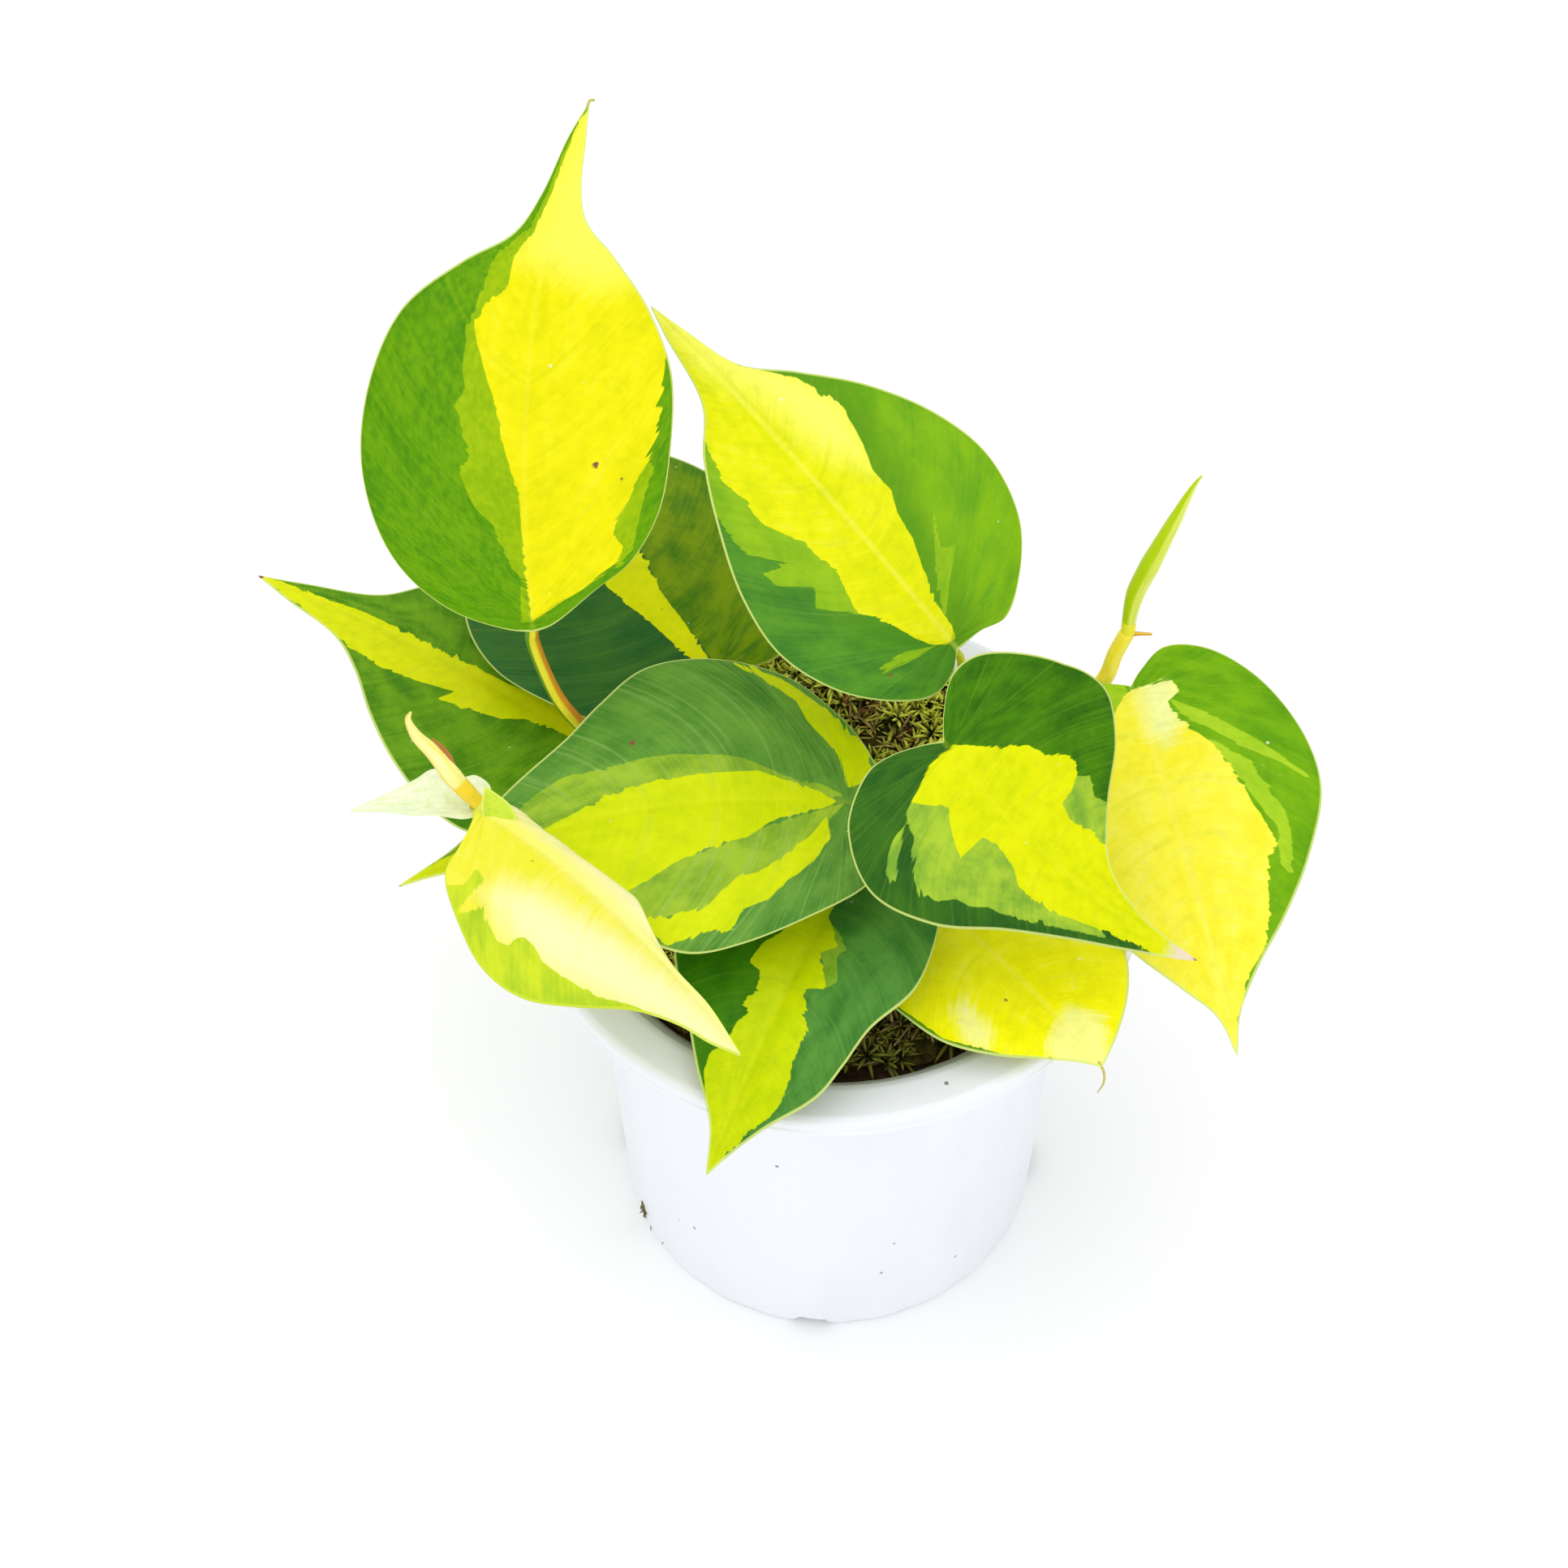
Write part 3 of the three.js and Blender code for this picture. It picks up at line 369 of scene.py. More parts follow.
class Finish:
    """One procedural material, and the short words its recipe is written in."""

    def __init__(self, name):
        self.material = bpy.data.materials.new(name)
        self.material.use_nodes = True
        self.tree = self.material.node_tree
        self.tree.nodes.clear()

    def node(self, kind, settings=None, inputs=None, output=0):
        """Adds a node: settings first, then the values or links of its sockets."""
        made = self.tree.nodes.new(kind)
        for key, value in (settings or {}).items():
            setattr(made, key, value)
        for key, value in (inputs or {}).items():
            if isinstance(value, Wire):
                self.tree.links.new(value.socket, made.inputs[key])
            else:
                made.inputs[key].default_value = value
        return Wire(self, made.outputs[output]) if made.outputs else None

    def attribute(self, name, output=2):
        return self.node("ShaderNodeAttribute", {"attribute_name": name}, output=output)

    def parts(self, vector):
        """The three numbers of a vector."""
        made = self.node("ShaderNodeSeparateXYZ", inputs={0: vector})
        outputs = made.socket.node.outputs
        return [Wire(self, outputs[k]) for k in range(3)]

    def stretched(self, vector, scale, shift=(0, 0, 0)):
        return self.node("ShaderNodeVectorMath", {"operation": "MULTIPLY_ADD"},
                         {0: vector, 1: scale, 2: shift})

    def place(self):
        return self.node("ShaderNodeTexCoord", output=3)

    def noise(self, vector, scale=1.0, detail=2.0, roughness=0.5):
        return self.node("ShaderNodeTexNoise", inputs={
            "Vector": vector, "Scale": scale, "Detail": detail, "Roughness": roughness})

    def combed(self, vector, scale, shift=(0, 0, 0), detail=1.0, roughness=0.5):
        """Noise stretched along the veins of a blade or the length of a stalk."""
        return self.noise(self.stretched(vector, scale, shift), 1.0, detail, roughness)

    def dots(self, vector, scale):
        """Distance to the nearest of the scattered points."""
        return self.node("ShaderNodeTexVoronoi", inputs={"Vector": vector, "Scale": scale})

    def ramp(self, value, low, high, bottom=0.0, top=1.0):
        """Rises smoothly from bottom to top as the value goes from low to high."""
        return self.node("ShaderNodeMapRange", {"interpolation_type": "SMOOTHSTEP"},
                         {0: value, 1: low, 2: high, 3: bottom, 4: top})

    def blend(self, factor, first, second):
        """The first colour, turning into the second as the factor goes to 1."""
        return self.node("ShaderNodeMix", {"data_type": "RGBA"}, {0: factor, 6: first, 7: second}, 2)

    def bump(self, height, strength, distance_mm):
        return self.node("ShaderNodeBump", inputs={
            "Height": height, "Strength": strength, "Distance": distance_mm * MM})

    def surface(self, inputs):
        shader = self.node("ShaderNodeBsdfPrincipled", inputs=inputs)
        self.node("ShaderNodeOutputMaterial", inputs={"Surface": shader})
        return self.material


# Display colours of the leaf skin: LEAF_TINTS for all, and under each leaf's name in TINTS what
# differs. The "deep" ones fill the clouds of their patch. "right" and "right_deep" replace the dark
# green right of the midrib, and "near" tints the green beside the yellow. "edge" is a painted
# highlight along the margin.
LEAF_TINTS = {
    "dark": (62, 122, 20), "dark_deep": (34, 90, 22), "mid": (134, 176, 22), "mid_deep": (106, 156, 20),
    "yellow": (224, 226, 0), "lime": (202, 214, 0), "cream": (240, 238, 50), "vein": (130, 172, 50),
    "edge": (214, 228, 130), "under": (166, 190, 70),
}
TINTS = {
    "leaf_top_left": {"dark": (106, 160, 2), "dark_deep": (70, 134, 0), "mid": (156, 188, 2),
                      "mid_deep": (130, 172, 0), "vein": (140, 180, 8), "yellow": (232, 225, 0),
                      "lime": (214, 213, 0), "cream": (242, 240, 84)},
    "leaf_top_right": {"dark": (90, 150, 36), "dark_deep": (50, 112, 34), "right": (132, 182, 14),
                       "right_deep": (92, 154, 20), "mid": (146, 188, 24),
                       "mid_deep": (116, 166, 20), "cream": (244, 243, 104), "near": (72, 132, 14)},
    "leaf_back": {"dark": (66, 118, 48), "dark_deep": (38, 94, 46), "mid": (132, 160, 10),
                  "mid_deep": (70, 122, 16), "yellow": (236, 238, 4), "lime": (222, 230, 4)},
    "leaf_left": {"mid": (112, 162, 24), "mid_deep": (68, 126, 14), "yellow": (222, 228, 2),
                  "lime": (202, 218, 2), "vein": (140, 180, 50)},
    "leaf_centre": {"dark": (110, 160, 58), "dark_deep": (62, 120, 40), "mid": (158, 190, 48),
                    "mid_deep": (116, 158, 38), "yellow": (206, 220, 0), "lime": (188, 210, 0),
                    "vein": (150, 184, 100)},
    "leaf_young": {"yellow": (236, 231, 62), "lime": (230, 228, 36), "cream": (246, 241, 178),
                   "mid": (206, 222, 40), "mid_deep": (166, 200, 36), "dark": (206, 222, 40),
                   "dark_deep": (166, 200, 36), "vein": (226, 230, 90), "edge": (206, 222, 60),
                   "under": (236, 238, 110)},
    "leaf_middle_right": {"dark": (76, 134, 6), "dark_deep": (34, 88, 8), "right": (60, 112, 26),
                          "right_deep": (30, 80, 24), "mid": (168, 200, 52), "mid_deep": (118, 164, 50),
                          "yellow": (220, 226, 0), "lime": (200, 215, 0)},
    "leaf_right": {"dark": (126, 180, 10), "dark_deep": (80, 144, 6), "mid": (172, 208, 40),
                   "mid_deep": (146, 192, 26), "yellow": (244, 236, 64), "lime": (240, 228, 26),
                   "cream": (242, 244, 160)},
    "leaf_front": {"dark": (92, 150, 60), "dark_deep": (44, 108, 34), "right": (70, 132, 6),
                   "right_deep": (34, 96, 8), "mid": (140, 180, 50),
                   "yellow": (200, 218, 0), "lime": (180, 206, 0)},
    "leaf_lower_right": {"yellow": (250, 246, 6), "lime": (238, 236, 0), "cream": (252, 250, 140),
                         "dark": (106, 158, 12), "dark_deep": (80, 138, 12)},
    "leaf_ear": {"dark": (206, 226, 70), "dark_deep": (180, 212, 56), "vein": (226, 238, 120),
                 "edge": (222, 234, 110), "under": (220, 236, 110)},
    "sheath": {"yellow": (238, 246, 212), "lime": (212, 230, 158), "cream": (248, 252, 232),
               "vein": (178, 208, 110), "edge": (228, 240, 196), "under": (232, 240, 196)},
}
DRY_TIP, BROWN_SPOT, DUST = (232, 214, 196), (132, 84, 52), (236, 240, 214)
# How the skin is laid out: the share of fine cells in the clouds, the range over which the clouds
# turn from deep to light, the strength of the thin threads and of the pale midrib, and how softly
# the cream places end.
LEAF_RECIPE = dict(cells=0.12, clouds=(0.24, 0.72), threads=0.13, midrib=0.1, soft=1)
RECIPES = {
    "leaf_top_left": dict(cells=0.4, clouds=(0.34, 0.64), soft=3),
    "leaf_top_right": dict(midrib=0.24, soft=3),
    "leaf_centre": dict(threads=0.32),
    "leaf_young": dict(soft=3.2),
    "leaf_right": dict(soft=1.8),
}


def leaf_finish(name, underside):
    """Variegated leaf skin: patches with edges combed along the veins, pale veins, and a painted
    highlight along the margin.
    """
    tints = {key: colour(*tint) for key, tint in {**LEAF_TINTS, **TINTS.get(name, {})}.items()}
    recipe = {**LEAF_RECIPE, **RECIPES.get(name, {})}
    skin = Finish(name + ("_underside" if underside else "_upperside"))
    comb = skin.attribute("comb", 1)
    across = skin.parts(comb)[2]
    teeth = skin.combed(comb, (64, 3.0, 0.4), detail=2.0, roughness=0.6) - 0.5
    fringe = skin.combed(comb, (170, 4.0, 0.4), (5, 1, 0)) - 0.5
    jagged = skin.ramp(skin.combed(comb, (11, 1.6, 0.2), (2, 8, 1)), 0.46, 0.6)
    ragged = teeth * (jagged * 2.8 + 0.5) + fringe * (jagged * 0.9 + 0.12)
    streaks = skin.combed(comb, (150, 1.1, 0.5), (3, 0, 9), 3.0, 0.6)
    clouds = skin.combed(comb, (15, 3.4, 0.1), (1, 5, 2), 3.0, 0.55)
    cells = skin.combed(comb, (90, 26, 0.2), (6, 1, 4), 2.0)
    mottle = skin.noise(skin.place(), 420.0, 4.0, 0.6)
    depth = clouds * (0.8 - recipe["cells"]) + cells * recipe["cells"] + streaks * 0.2
    left_green = skin.blend(skin.ramp(depth, *recipe["clouds"]), tints["dark_deep"], tints["dark"])
    right_green = skin.blend(skin.ramp(depth, *recipe["clouds"]),
                             tints.get("right_deep", tints["dark_deep"]),
                             tints.get("right", tints["dark"]))
    green = skin.blend(skin.ramp(across, -0.06, 0.06), right_green, left_green)
    if "near" in tints:
        beside = skin.ramp(skin.attribute("yellow") + streaks * 4, -7.0, 1.5, 0.0, 0.6)
        green = skin.blend(beside, green, tints["near"])
    lighter = skin.blend(skin.ramp(depth, 0.34, 0.64), tints["mid_deep"], tints["mid"])
    green = skin.blend(skin.ramp(skin.attribute("mid") + ragged, -0.14, 0.16), green, lighter)
    threads = skin.ramp(skin.combed(comb, (260, 0.5, 0.3), (0, 2, 4)), 0.54, 0.70)
    green = skin.blend(threads * recipe["threads"], green, tints["vein"])
    yellow = skin.blend(skin.ramp(clouds * 0.7 + streaks * 0.3, 0.3, 0.56, 0.2, 1.0), tints["lime"],
                        tints["yellow"])
    pale = skin.ramp(streaks * 0.5 + clouds * 0.5, 0.5, 0.7, 0.0, 0.2)
    yellow = skin.blend(pale, yellow, tints["cream"])
    cream = skin.ramp(skin.attribute("cream") + (streaks - 0.5) * 5 + ragged * 0.5,
                      -1.6 * recipe["soft"], 2.0 * recipe["soft"])
    yellow = skin.blend(cream, yellow, tints["cream"])
    tone = skin.blend(skin.ramp(skin.attribute("yellow") + ragged, -0.12, 0.14), green, yellow)
    ribs = skin.attribute("ribs")
    tone = skin.blend(skin.ramp(ribs, 0.2, 1.0, 0.0, 0.1), tone, tints["vein"])
    tone = skin.blend(skin.ramp(abs(across), 0.02, 0.08, recipe["midrib"], 0.0), tone, tints["cream"])
    tone = skin.blend(skin.ramp(mottle, 0.4, 0.75, 0.0, 0.1), tone, tints["dark_deep"])
    # Painted highlight along the margin in the "edge" colour: strongest at the margin and gone 0.4 mm
    # in.
    tone = skin.blend(skin.ramp(skin.attribute("rim"), 0.16, 0.4, 0.8, 0.0), tone, tints["edge"])
    spoilt = (mottle - 0.5) * 0.8
    tone = skin.blend(skin.ramp(skin.attribute("blemish") + spoilt, -0.1, 0.2), tone,
                      colour(*BROWN_SPOT))
    dry = skin.attribute("dry") + (streaks - 0.5) * 4
    tone = skin.blend(skin.ramp(dry, -1.6, 3.0, 0.0, 0.9), tone, colour(*DRY_TIP))
    tone = skin.blend(skin.ramp(dry, 5.6, 6.8), tone, colour(*BROWN_SPOT))
    dust = skin.ramp(skin.dots(skin.place(), 240.0), 0.07, 0.1, 1.0, 0.0)
    patch = skin.ramp(skin.noise(skin.place(), 38.0, 2.0), 0.58, 0.66)
    if underside:
        tone = skin.blend(0.5, tone, tints["under"])
    else:
        tone = skin.blend(dust * patch * 0.6, tone, colour(*DUST))
    gloss = skin.ramp(mottle, 0.3, 0.7, 0.36, 0.48) + (0.16 if underside else 0.0)
    relief = ribs * 0.4 + streaks * 0.2 + mottle * 0.3 + cells * 0.15
    return skin.surface({
        "Base Color": tone, "Roughness": gloss, "Normal": skin.bump(relief, 0.3, 0.25),
        "Specular IOR Level": 0.07,
    })


def stalk_finish(name, base, light, dark, left=None, right=None, foot=None, foot_length=0):
    """Juicy stalk skin: streaks along its length, a stripe of its own colour on either side, and
    another colour for the first few millimetres from its foot."""
    skin = Finish(name)
    run = skin.attribute("comb", 1)
    streaks = skin.combed(run, (0.09, 5.0, 5.0), detail=3.0, roughness=0.6)
    patches = skin.combed(run, (0.05, 1.4, 1.4), (4, 1, 0), 2.0)
    grain = skin.noise(skin.place(), 1400.0, 2.0)
    tone = skin.blend(skin.ramp(streaks, 0.42, 0.62), colour(*base), colour(*light))
    tone = skin.blend(skin.ramp(patches, 0.5, 0.68, 0.0, 0.7), tone, colour(*dark))
    turn = skin.parts(run)[1] + (streaks - 0.5) * 0.5
    if left:
        tone = skin.blend(skin.ramp(turn, 0.15, 0.5), tone, colour(*left))
    if right:
        tone = skin.blend(skin.ramp(turn, -0.75, -0.5, 1.0, 0.0), tone, colour(*right))
    if foot:
        below = skin.ramp(skin.parts(run)[0], foot_length - 0.4, foot_length + 0.4, 1.0, 0.0)
        tone = skin.blend(below * (0.75 + 0.25 * streaks), tone, colour(*foot))
    return skin.surface({
        "Base Color": tone, "Roughness": skin.ramp(grain, 0.3, 0.7, 0.32, 0.44),
        "Normal": skin.bump(streaks * 0.7 + grain * 0.2, 0.3, 0.2), "Specular IOR Level": 0.16,
    })


def pot_finish():
    """White moulded plastic with faint smudges and a few specks of soil."""
    skin = Finish("white_pot_plastic")
    place = skin.place()
    smudge = skin.combed(place, (18, 18, 9), detail=4.0, roughness=0.6)
    specks = skin.ramp(skin.dots(place, 130.0), 0.045, 0.07, 1.0, 0.0)
    scatter = skin.ramp(skin.noise(place, 26.0, 2.0), 0.52, 0.6)
    tone = skin.blend(skin.ramp(smudge, 0.45, 0.75, 0.0, 0.35), colour(238, 241, 247),
                      colour(222, 226, 233))
    tone = skin.blend(specks * scatter * 0.85, tone, colour(74, 60, 48))
    return skin.surface({
        "Base Color": tone, "Roughness": skin.ramp(smudge, 0.3, 0.7, 0.3, 0.46),
        "Normal": skin.bump(skin.noise(place, 900.0, 3.0), 0.06, 0.3),
    })


def crumb_finish(name, dark, light, scale):
    """Rough matter of two tones, for soil, bark and moss."""
    skin = Finish(name)
    place = skin.place()
    lumps = skin.noise(place, scale, 5.0, 0.65)
    fine = skin.noise(place, scale * 6, 3.0, 0.6)
    tone = skin.blend(skin.ramp(lumps * 0.6 + fine * 0.4, 0.38, 0.62), colour(*dark), colour(*light))
    return skin.surface({
        "Base Color": tone, "Roughness": 0.9, "Normal": skin.bump(lumps + fine * 0.5, 0.7, 0.6),
        "Specular IOR Level": 0.2,
    })


# Curves, grids and meshes


def smooth_curve(points, count):
    """A centripetal Catmull-Rom curve through the points, cut at count + 1 evenly spaced places.

    Each span is a cubic whose end slopes come from its neighbours, weighted by the square roots of
    the distances between the points; the spacing is evened out by the length run along the curve.
    """
    given = np.asarray(points, float)
    given = np.vstack([2 * given[0] - given[1], given, 2 * given[-1] - given[-2]])
    t = np.linspace(0, 1, 40, endpoint=False)[:, None]
    spans = []
    for p0, p1, p2, p3 in zip(given, given[1:], given[2:], given[3:]):
        d0, d1, d2 = [math.sqrt(max(np.linalg.norm(b - a), 1e-9))
                      for a, b in ((p0, p1), (p1, p2), (p2, p3))]
        leave = ((p1 - p0) / d0 - (p2 - p0) / (d0 + d1) + (p2 - p1) / d1) * d1
        arrive = ((p2 - p1) / d1 - (p3 - p1) / (d1 + d2) + (p3 - p2) / d2) * d1
        spans.append(p1 + leave * t + (3 * (p2 - p1) - 2 * leave - arrive) * t**2
                     + (2 * (p1 - p2) + leave + arrive) * t**3)
    dense = np.vstack([*spans, given[-2][None]])
    run = np.concatenate([[0], np.cumsum(np.linalg.norm(np.diff(dense, axis=0), axis=1))])
    stops = np.linspace(0, run[-1], count + 1)
    return np.stack([np.interp(stops, run, dense[:, k]) for k in range(dense.shape[1])], -1)


def grid_faces(rows, columns, first=0, flip=False):
    """The quads of a grid of rows by columns points, whose points start at the number first."""
    index = first + np.arange(rows * columns).reshape(rows, columns)
    quads = np.stack([index[:-1, :-1], index[1:, :-1], index[1:, 1:], index[:-1, 1:]], -1).reshape(-1, 4)
    return quads[:, ::-1] if flip else quads


def full_turn(count):
    """Angles of a closed ring, whose last point falls exactly on its first."""
    angle = np.linspace(0, 2 * np.pi, count + 1)
    angle[-1] = 0
    return angle


def make_piece(name, points, quads, finishes, finish_of=None, fields=None, sharp=None):
    """A smooth mesh piece in metres from points in mm.

    Points at one place become one vertex, so that seams and poles close, and quads that this turns
    into triangles or lines are made triangles or dropped. fields are values per point.
    """
    points = np.asarray(points, float)
    keys = np.round(points * 5000).astype(np.int64)
    _, first, owner = np.unique(keys, axis=0, return_index=True, return_inverse=True)
    quads = owner.reshape(-1)[quads]
    finish_of = np.zeros(len(quads), int) if finish_of is None else finish_of
    doubled = quads == np.roll(quads, -1, axis=1)
    count = doubled.sum(1)
    count[(quads[:, 0] == quads[:, 2]) | (quads[:, 1] == quads[:, 3])] = 2
    whole = quads[count == 0]
    corners = quads[count == 1][~doubled[count == 1]].reshape(-1, 3)
    mesh = bpy.data.meshes.new(name)
    mesh.from_pydata((points[first] * MM).tolist(), [], whole.tolist() + corners.tolist())
    finish_index = np.concatenate([finish_of[count == 0], finish_of[count == 1]])
    mesh.polygons.foreach_set("material_index", finish_index.astype(np.int32))
    mesh.polygons.foreach_set("use_smooth", np.ones(len(finish_index), bool))
    for key, values in (fields or {}).items():
        values = np.asarray(values, np.float32)[first]
        kind = "FLOAT_VECTOR" if values.ndim == 2 else "FLOAT"
        layer = mesh.attributes.new(key, kind, "POINT")
        layer.data.foreach_set("vector" if values.ndim == 2 else "value", values.ravel())
    for finish in finishes:
        mesh.materials.append(finish)
    if sharp is not None:
        mesh.set_sharp_from_angle(angle=math.radians(sharp))
    mesh.update()
    piece = bpy.data.objects.new(name, mesh)
    bpy.context.scene.collection.objects.link(piece)
    return piece


def settle(piece, slot, *nodes):
    """The piece rides on the plant's one body and stands for its nodes."""
    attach(piece, "root")
    if nodes:
        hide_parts(*nodes)


# Leaves


def bent(leaf, along, out):
    """Places flat leaf points in space: the midrib is a curve that turns at an even rate, and each
    half of a cross-section is an arc that starts at the fold angle and curls on at an even rate."""
    length = leaf["length"]

    def frame_at(share):
        pitch = np.radians(leaf["pitch"] + leaf["bend"] * share)
        heading = np.radians(leaf["heading"] + leaf["sweep"] * share)
        ahead = np.stack([np.cos(pitch) * np.cos(heading), np.cos(pitch) * np.sin(heading),
                          np.sin(pitch)], -1)
        side = np.stack([-np.sin(heading), np.cos(heading), 0 * heading], -1)
        return ahead, side, np.cross(ahead, side)

    middle = (np.arange(SPINE_STEPS) + 0.5) / SPINE_STEPS
    steps = frame_at(middle)[0] * (length / SPINE_STEPS)
    spine = np.vstack([np.zeros(3), np.cumsum(steps, axis=0)]) + np.array(leaf["at"], float)
    held = np.clip(along, 0, length)
    stops = np.linspace(0, length, SPINE_STEPS + 1)
    place = np.stack([np.interp(held, stops, spine[:, k]) for k in range(3)], -1)
    ahead, side, up = frame_at(held / length)
    roll = math.radians(leaf["roll"])
    side, up = side * math.cos(roll) + up * math.sin(roll), up * math.cos(roll) - side * math.sin(roll)
    width = np.abs(out)
    left = out >= 0
    fold = np.radians(np.where(left, *leaf["fold"]))
    turn = np.radians(np.where(left, *leaf["curl"])) / HALF_WIDTH_UNIT + 1e-7
    reach = (np.sin(fold + turn * width) - np.sin(fold)) / turn
    rise = (np.cos(fold) - np.cos(fold + turn * width)) / turn
    place = place + ahead * (along - held)[..., None]
    return place + side * np.where(left, reach, -reach)[..., None] + up * rise[..., None]


def half_blade(leaf, sign, sinus):
    """One half of the flat blade as a grid: rows run along veins from the midrib to the edge.

    The edge is cut into even shares. A vein's foot is at the stalk for the first LOBE_SHARE of
    them, then moves up the midrib, and each vein bows back by a parabola. Returns the flat place
    along and out, the share of the edge and the share of the way out, each as a grid.
    """
    corners = [[-sinus, 0], *leaf["left" if sign > 0 else "right"], [leaf["length"], 0]]
    edge = smooth_curve(corners, CELLS_ALONG)
    share = np.linspace(0, 1, CELLS_ALONG + 1)[:, None]
    reach = np.linspace(0, 1, CELLS_OUT + 1)[None, :] ** 0.9
    foot = leaf["length"] * np.clip((share - LOBE_SHARE) / (1 - LOBE_SHARE), 0, 1) ** RIB_POWER
    bow = VEIN_BOW * np.abs(edge[:, 1:]) * np.minimum(1, foot / 10) * 4 * reach * (1 - reach)
    along = foot + (edge[:, :1] - foot) * reach - bow
    out = sign * edge[:, 1:] * reach
    return along, out, share + 0 * reach, reach + 0 * share


def patch_depth(outlines, along, out):
    """How deep each flat point lies inside the nearest outline: negative outside, in mm."""
    best = np.full(along.shape, -99.0)
    for outline in outlines:
        corners = np.asarray(outline, float)
        inside = np.zeros(along.shape, bool)
        nearest = np.full(along.shape, 99.0)
        for (u0, v0), (u1, v1) in zip(corners, np.roll(corners, -1, axis=0)):
            du, dv = u1 - u0, v1 - v0
            t = np.clip(((along - u0) * du + (out - v0) * dv) / (du * du + dv * dv + 1e-12), 0, 1)
            nearest = np.minimum(nearest, np.hypot(along - u0 - t * du, out - v0 - t * dv))
            if v0 != v1:
                crosses = (v0 > out) != (v1 > out)
                inside ^= crosses & (along < u0 + (out - v0) * du / dv)
        best = np.maximum(best, np.where(inside, nearest, -nearest))
    return best


def blemish_depth(spots, along, out):
    """How deep each flat point lies inside the nearest of the round spots, in mm."""
    depths = [radius - np.hypot(along - u, out - v) for u, v, radius in spots]
    return np.max(depths, axis=0) if depths else np.full(along.shape, -9.0)


def side_ribs(share, reach):
    """The side veins as narrow ridges at even shares of the edge, fading towards it: 0 to 1."""
    phase = share * RIB_COUNT + 0.08 * np.sin(share * 21)
    ridge = np.exp(-((np.abs(phase - np.round(phase)) / 0.07) ** 2))
    return ridge * np.clip(1.15 - reach, 0, 1) ** 0.7


def blade_arrays(leaf, thickness, sinus=SINUS_DEPTH, ripple=0.5, phase=0.0):
    """A closed blade: upper points, lower points and an outer row between them for a round margin.

    Both faces are the bent grid moved along its normal. The upper one sinks at the midrib and at
    the side veins and swells between them, the lower one stands out at the midrib, and the whole
    blade waves gently towards its margin.
    """
    points, quads, finish_of, fields = [], [], [], {}
    count = 0
    for sign in (1, -1):
        along, out, share, reach = half_blade(leaf, sign, sinus)
        h = 0.4
        place = bent(leaf, along, out)
        slope_u = bent(leaf, along + h, out) - bent(leaf, along - h, out)
        slope_v = bent(leaf, along, out + h) - bent(leaf, along, out - h)
        normal = np.cross(slope_u, slope_v)
        normal /= np.linalg.norm(normal, axis=-1, keepdims=True)
        tip_fade = np.clip((leaf["length"] - along) / 12, 0, 1)
        rib = np.exp(-((out / 0.8) ** 2)) * tip_fade
        ribs = side_ribs(share, reach) * tip_fade * np.clip(np.abs(out) / 3, 0, 1)
        swell = 0.16 * np.sin(np.pi * share * RIB_COUNT) ** 2 * np.sin(np.pi * reach) * tip_fade
        swing = np.sin(2 * np.pi * (2.6 * share + phase + 0.23 * sign))
        wave = leaf.get("ripple", ripple) * swing * reach**3 * tip_fade
        wave = wave * np.sin(np.pi * share) ** 0.5
        body = thickness * (1 - 0.35 * reach**6)
        upper = place + normal * (wave + swell - 0.22 * rib - 0.1 * ribs)[..., None]
        lower = place + normal * (wave - body - 0.75 * rib * (1 - along / leaf["length"] * 0.7)
                                  - 0.08 * ribs)[..., None]
        outward = upper[:, -1] - upper[:, -2]
        outward /= np.linalg.norm(outward, axis=-1, keepdims=True) + 1e-9
        outer = (upper[:, -1] + lower[:, -1]) / 2 + outward * 0.12
        outer[0] = (upper[0, -1] + lower[0, -1]) / 2
        outer[-1] = (upper[-1, -1] + lower[-1, -1]) / 2
        rows, columns = share.shape
        edge_gap = (1 - reach) * np.hypot(along[:, -1:] - along[:, :1], out[:, -1:])
        values = {
            "comb": np.stack([share, reach, out / 10], -1), "rim": edge_gap,
            "yellow": patch_depth(leaf.get("yellow", []), along, out),
            "mid": patch_depth(leaf.get("mid", []), along, out),
            "cream": patch_depth(leaf.get("cream", []), along, out),
            "dry": along - leaf["length"] + leaf.get("dry", -9),
            "blemish": blemish_depth(leaf.get("blemishes", []), along, out), "ribs": ribs,
        }
        flip = sign < 0
        for k, sheet in enumerate((upper, lower)):
            points.append(sheet.reshape(-1, 3))
            quads.append(grid_faces(rows, columns, count, flip != (k == 1)))
            finish_of.append(np.full(len(quads[-1]), k))
            count += rows * columns
        points.append(outer)
        margin = np.arange(rows)
        top = count - 2 * rows * columns + margin * columns + columns - 1
        bottom = top + rows * columns
        for near, far in ((top, count + margin), (count + margin, bottom)):
            strip = np.stack([near[:-1], near[1:], far[1:], far[:-1]], -1)
            quads.append(strip[:, ::-1] if flip else strip)
            finish_of.append(np.zeros(len(strip), int))
        count += rows
        for key, value in values.items():
            flat = value.reshape(rows * columns, *value.shape[2:])
            fields.setdefault(key, []).extend([flat, flat, value[:, -1]])
    return (np.vstack(points), np.vstack(quads), np.concatenate(finish_of),
            {key: np.concatenate(value) for key, value in fields.items()})


# Stalks


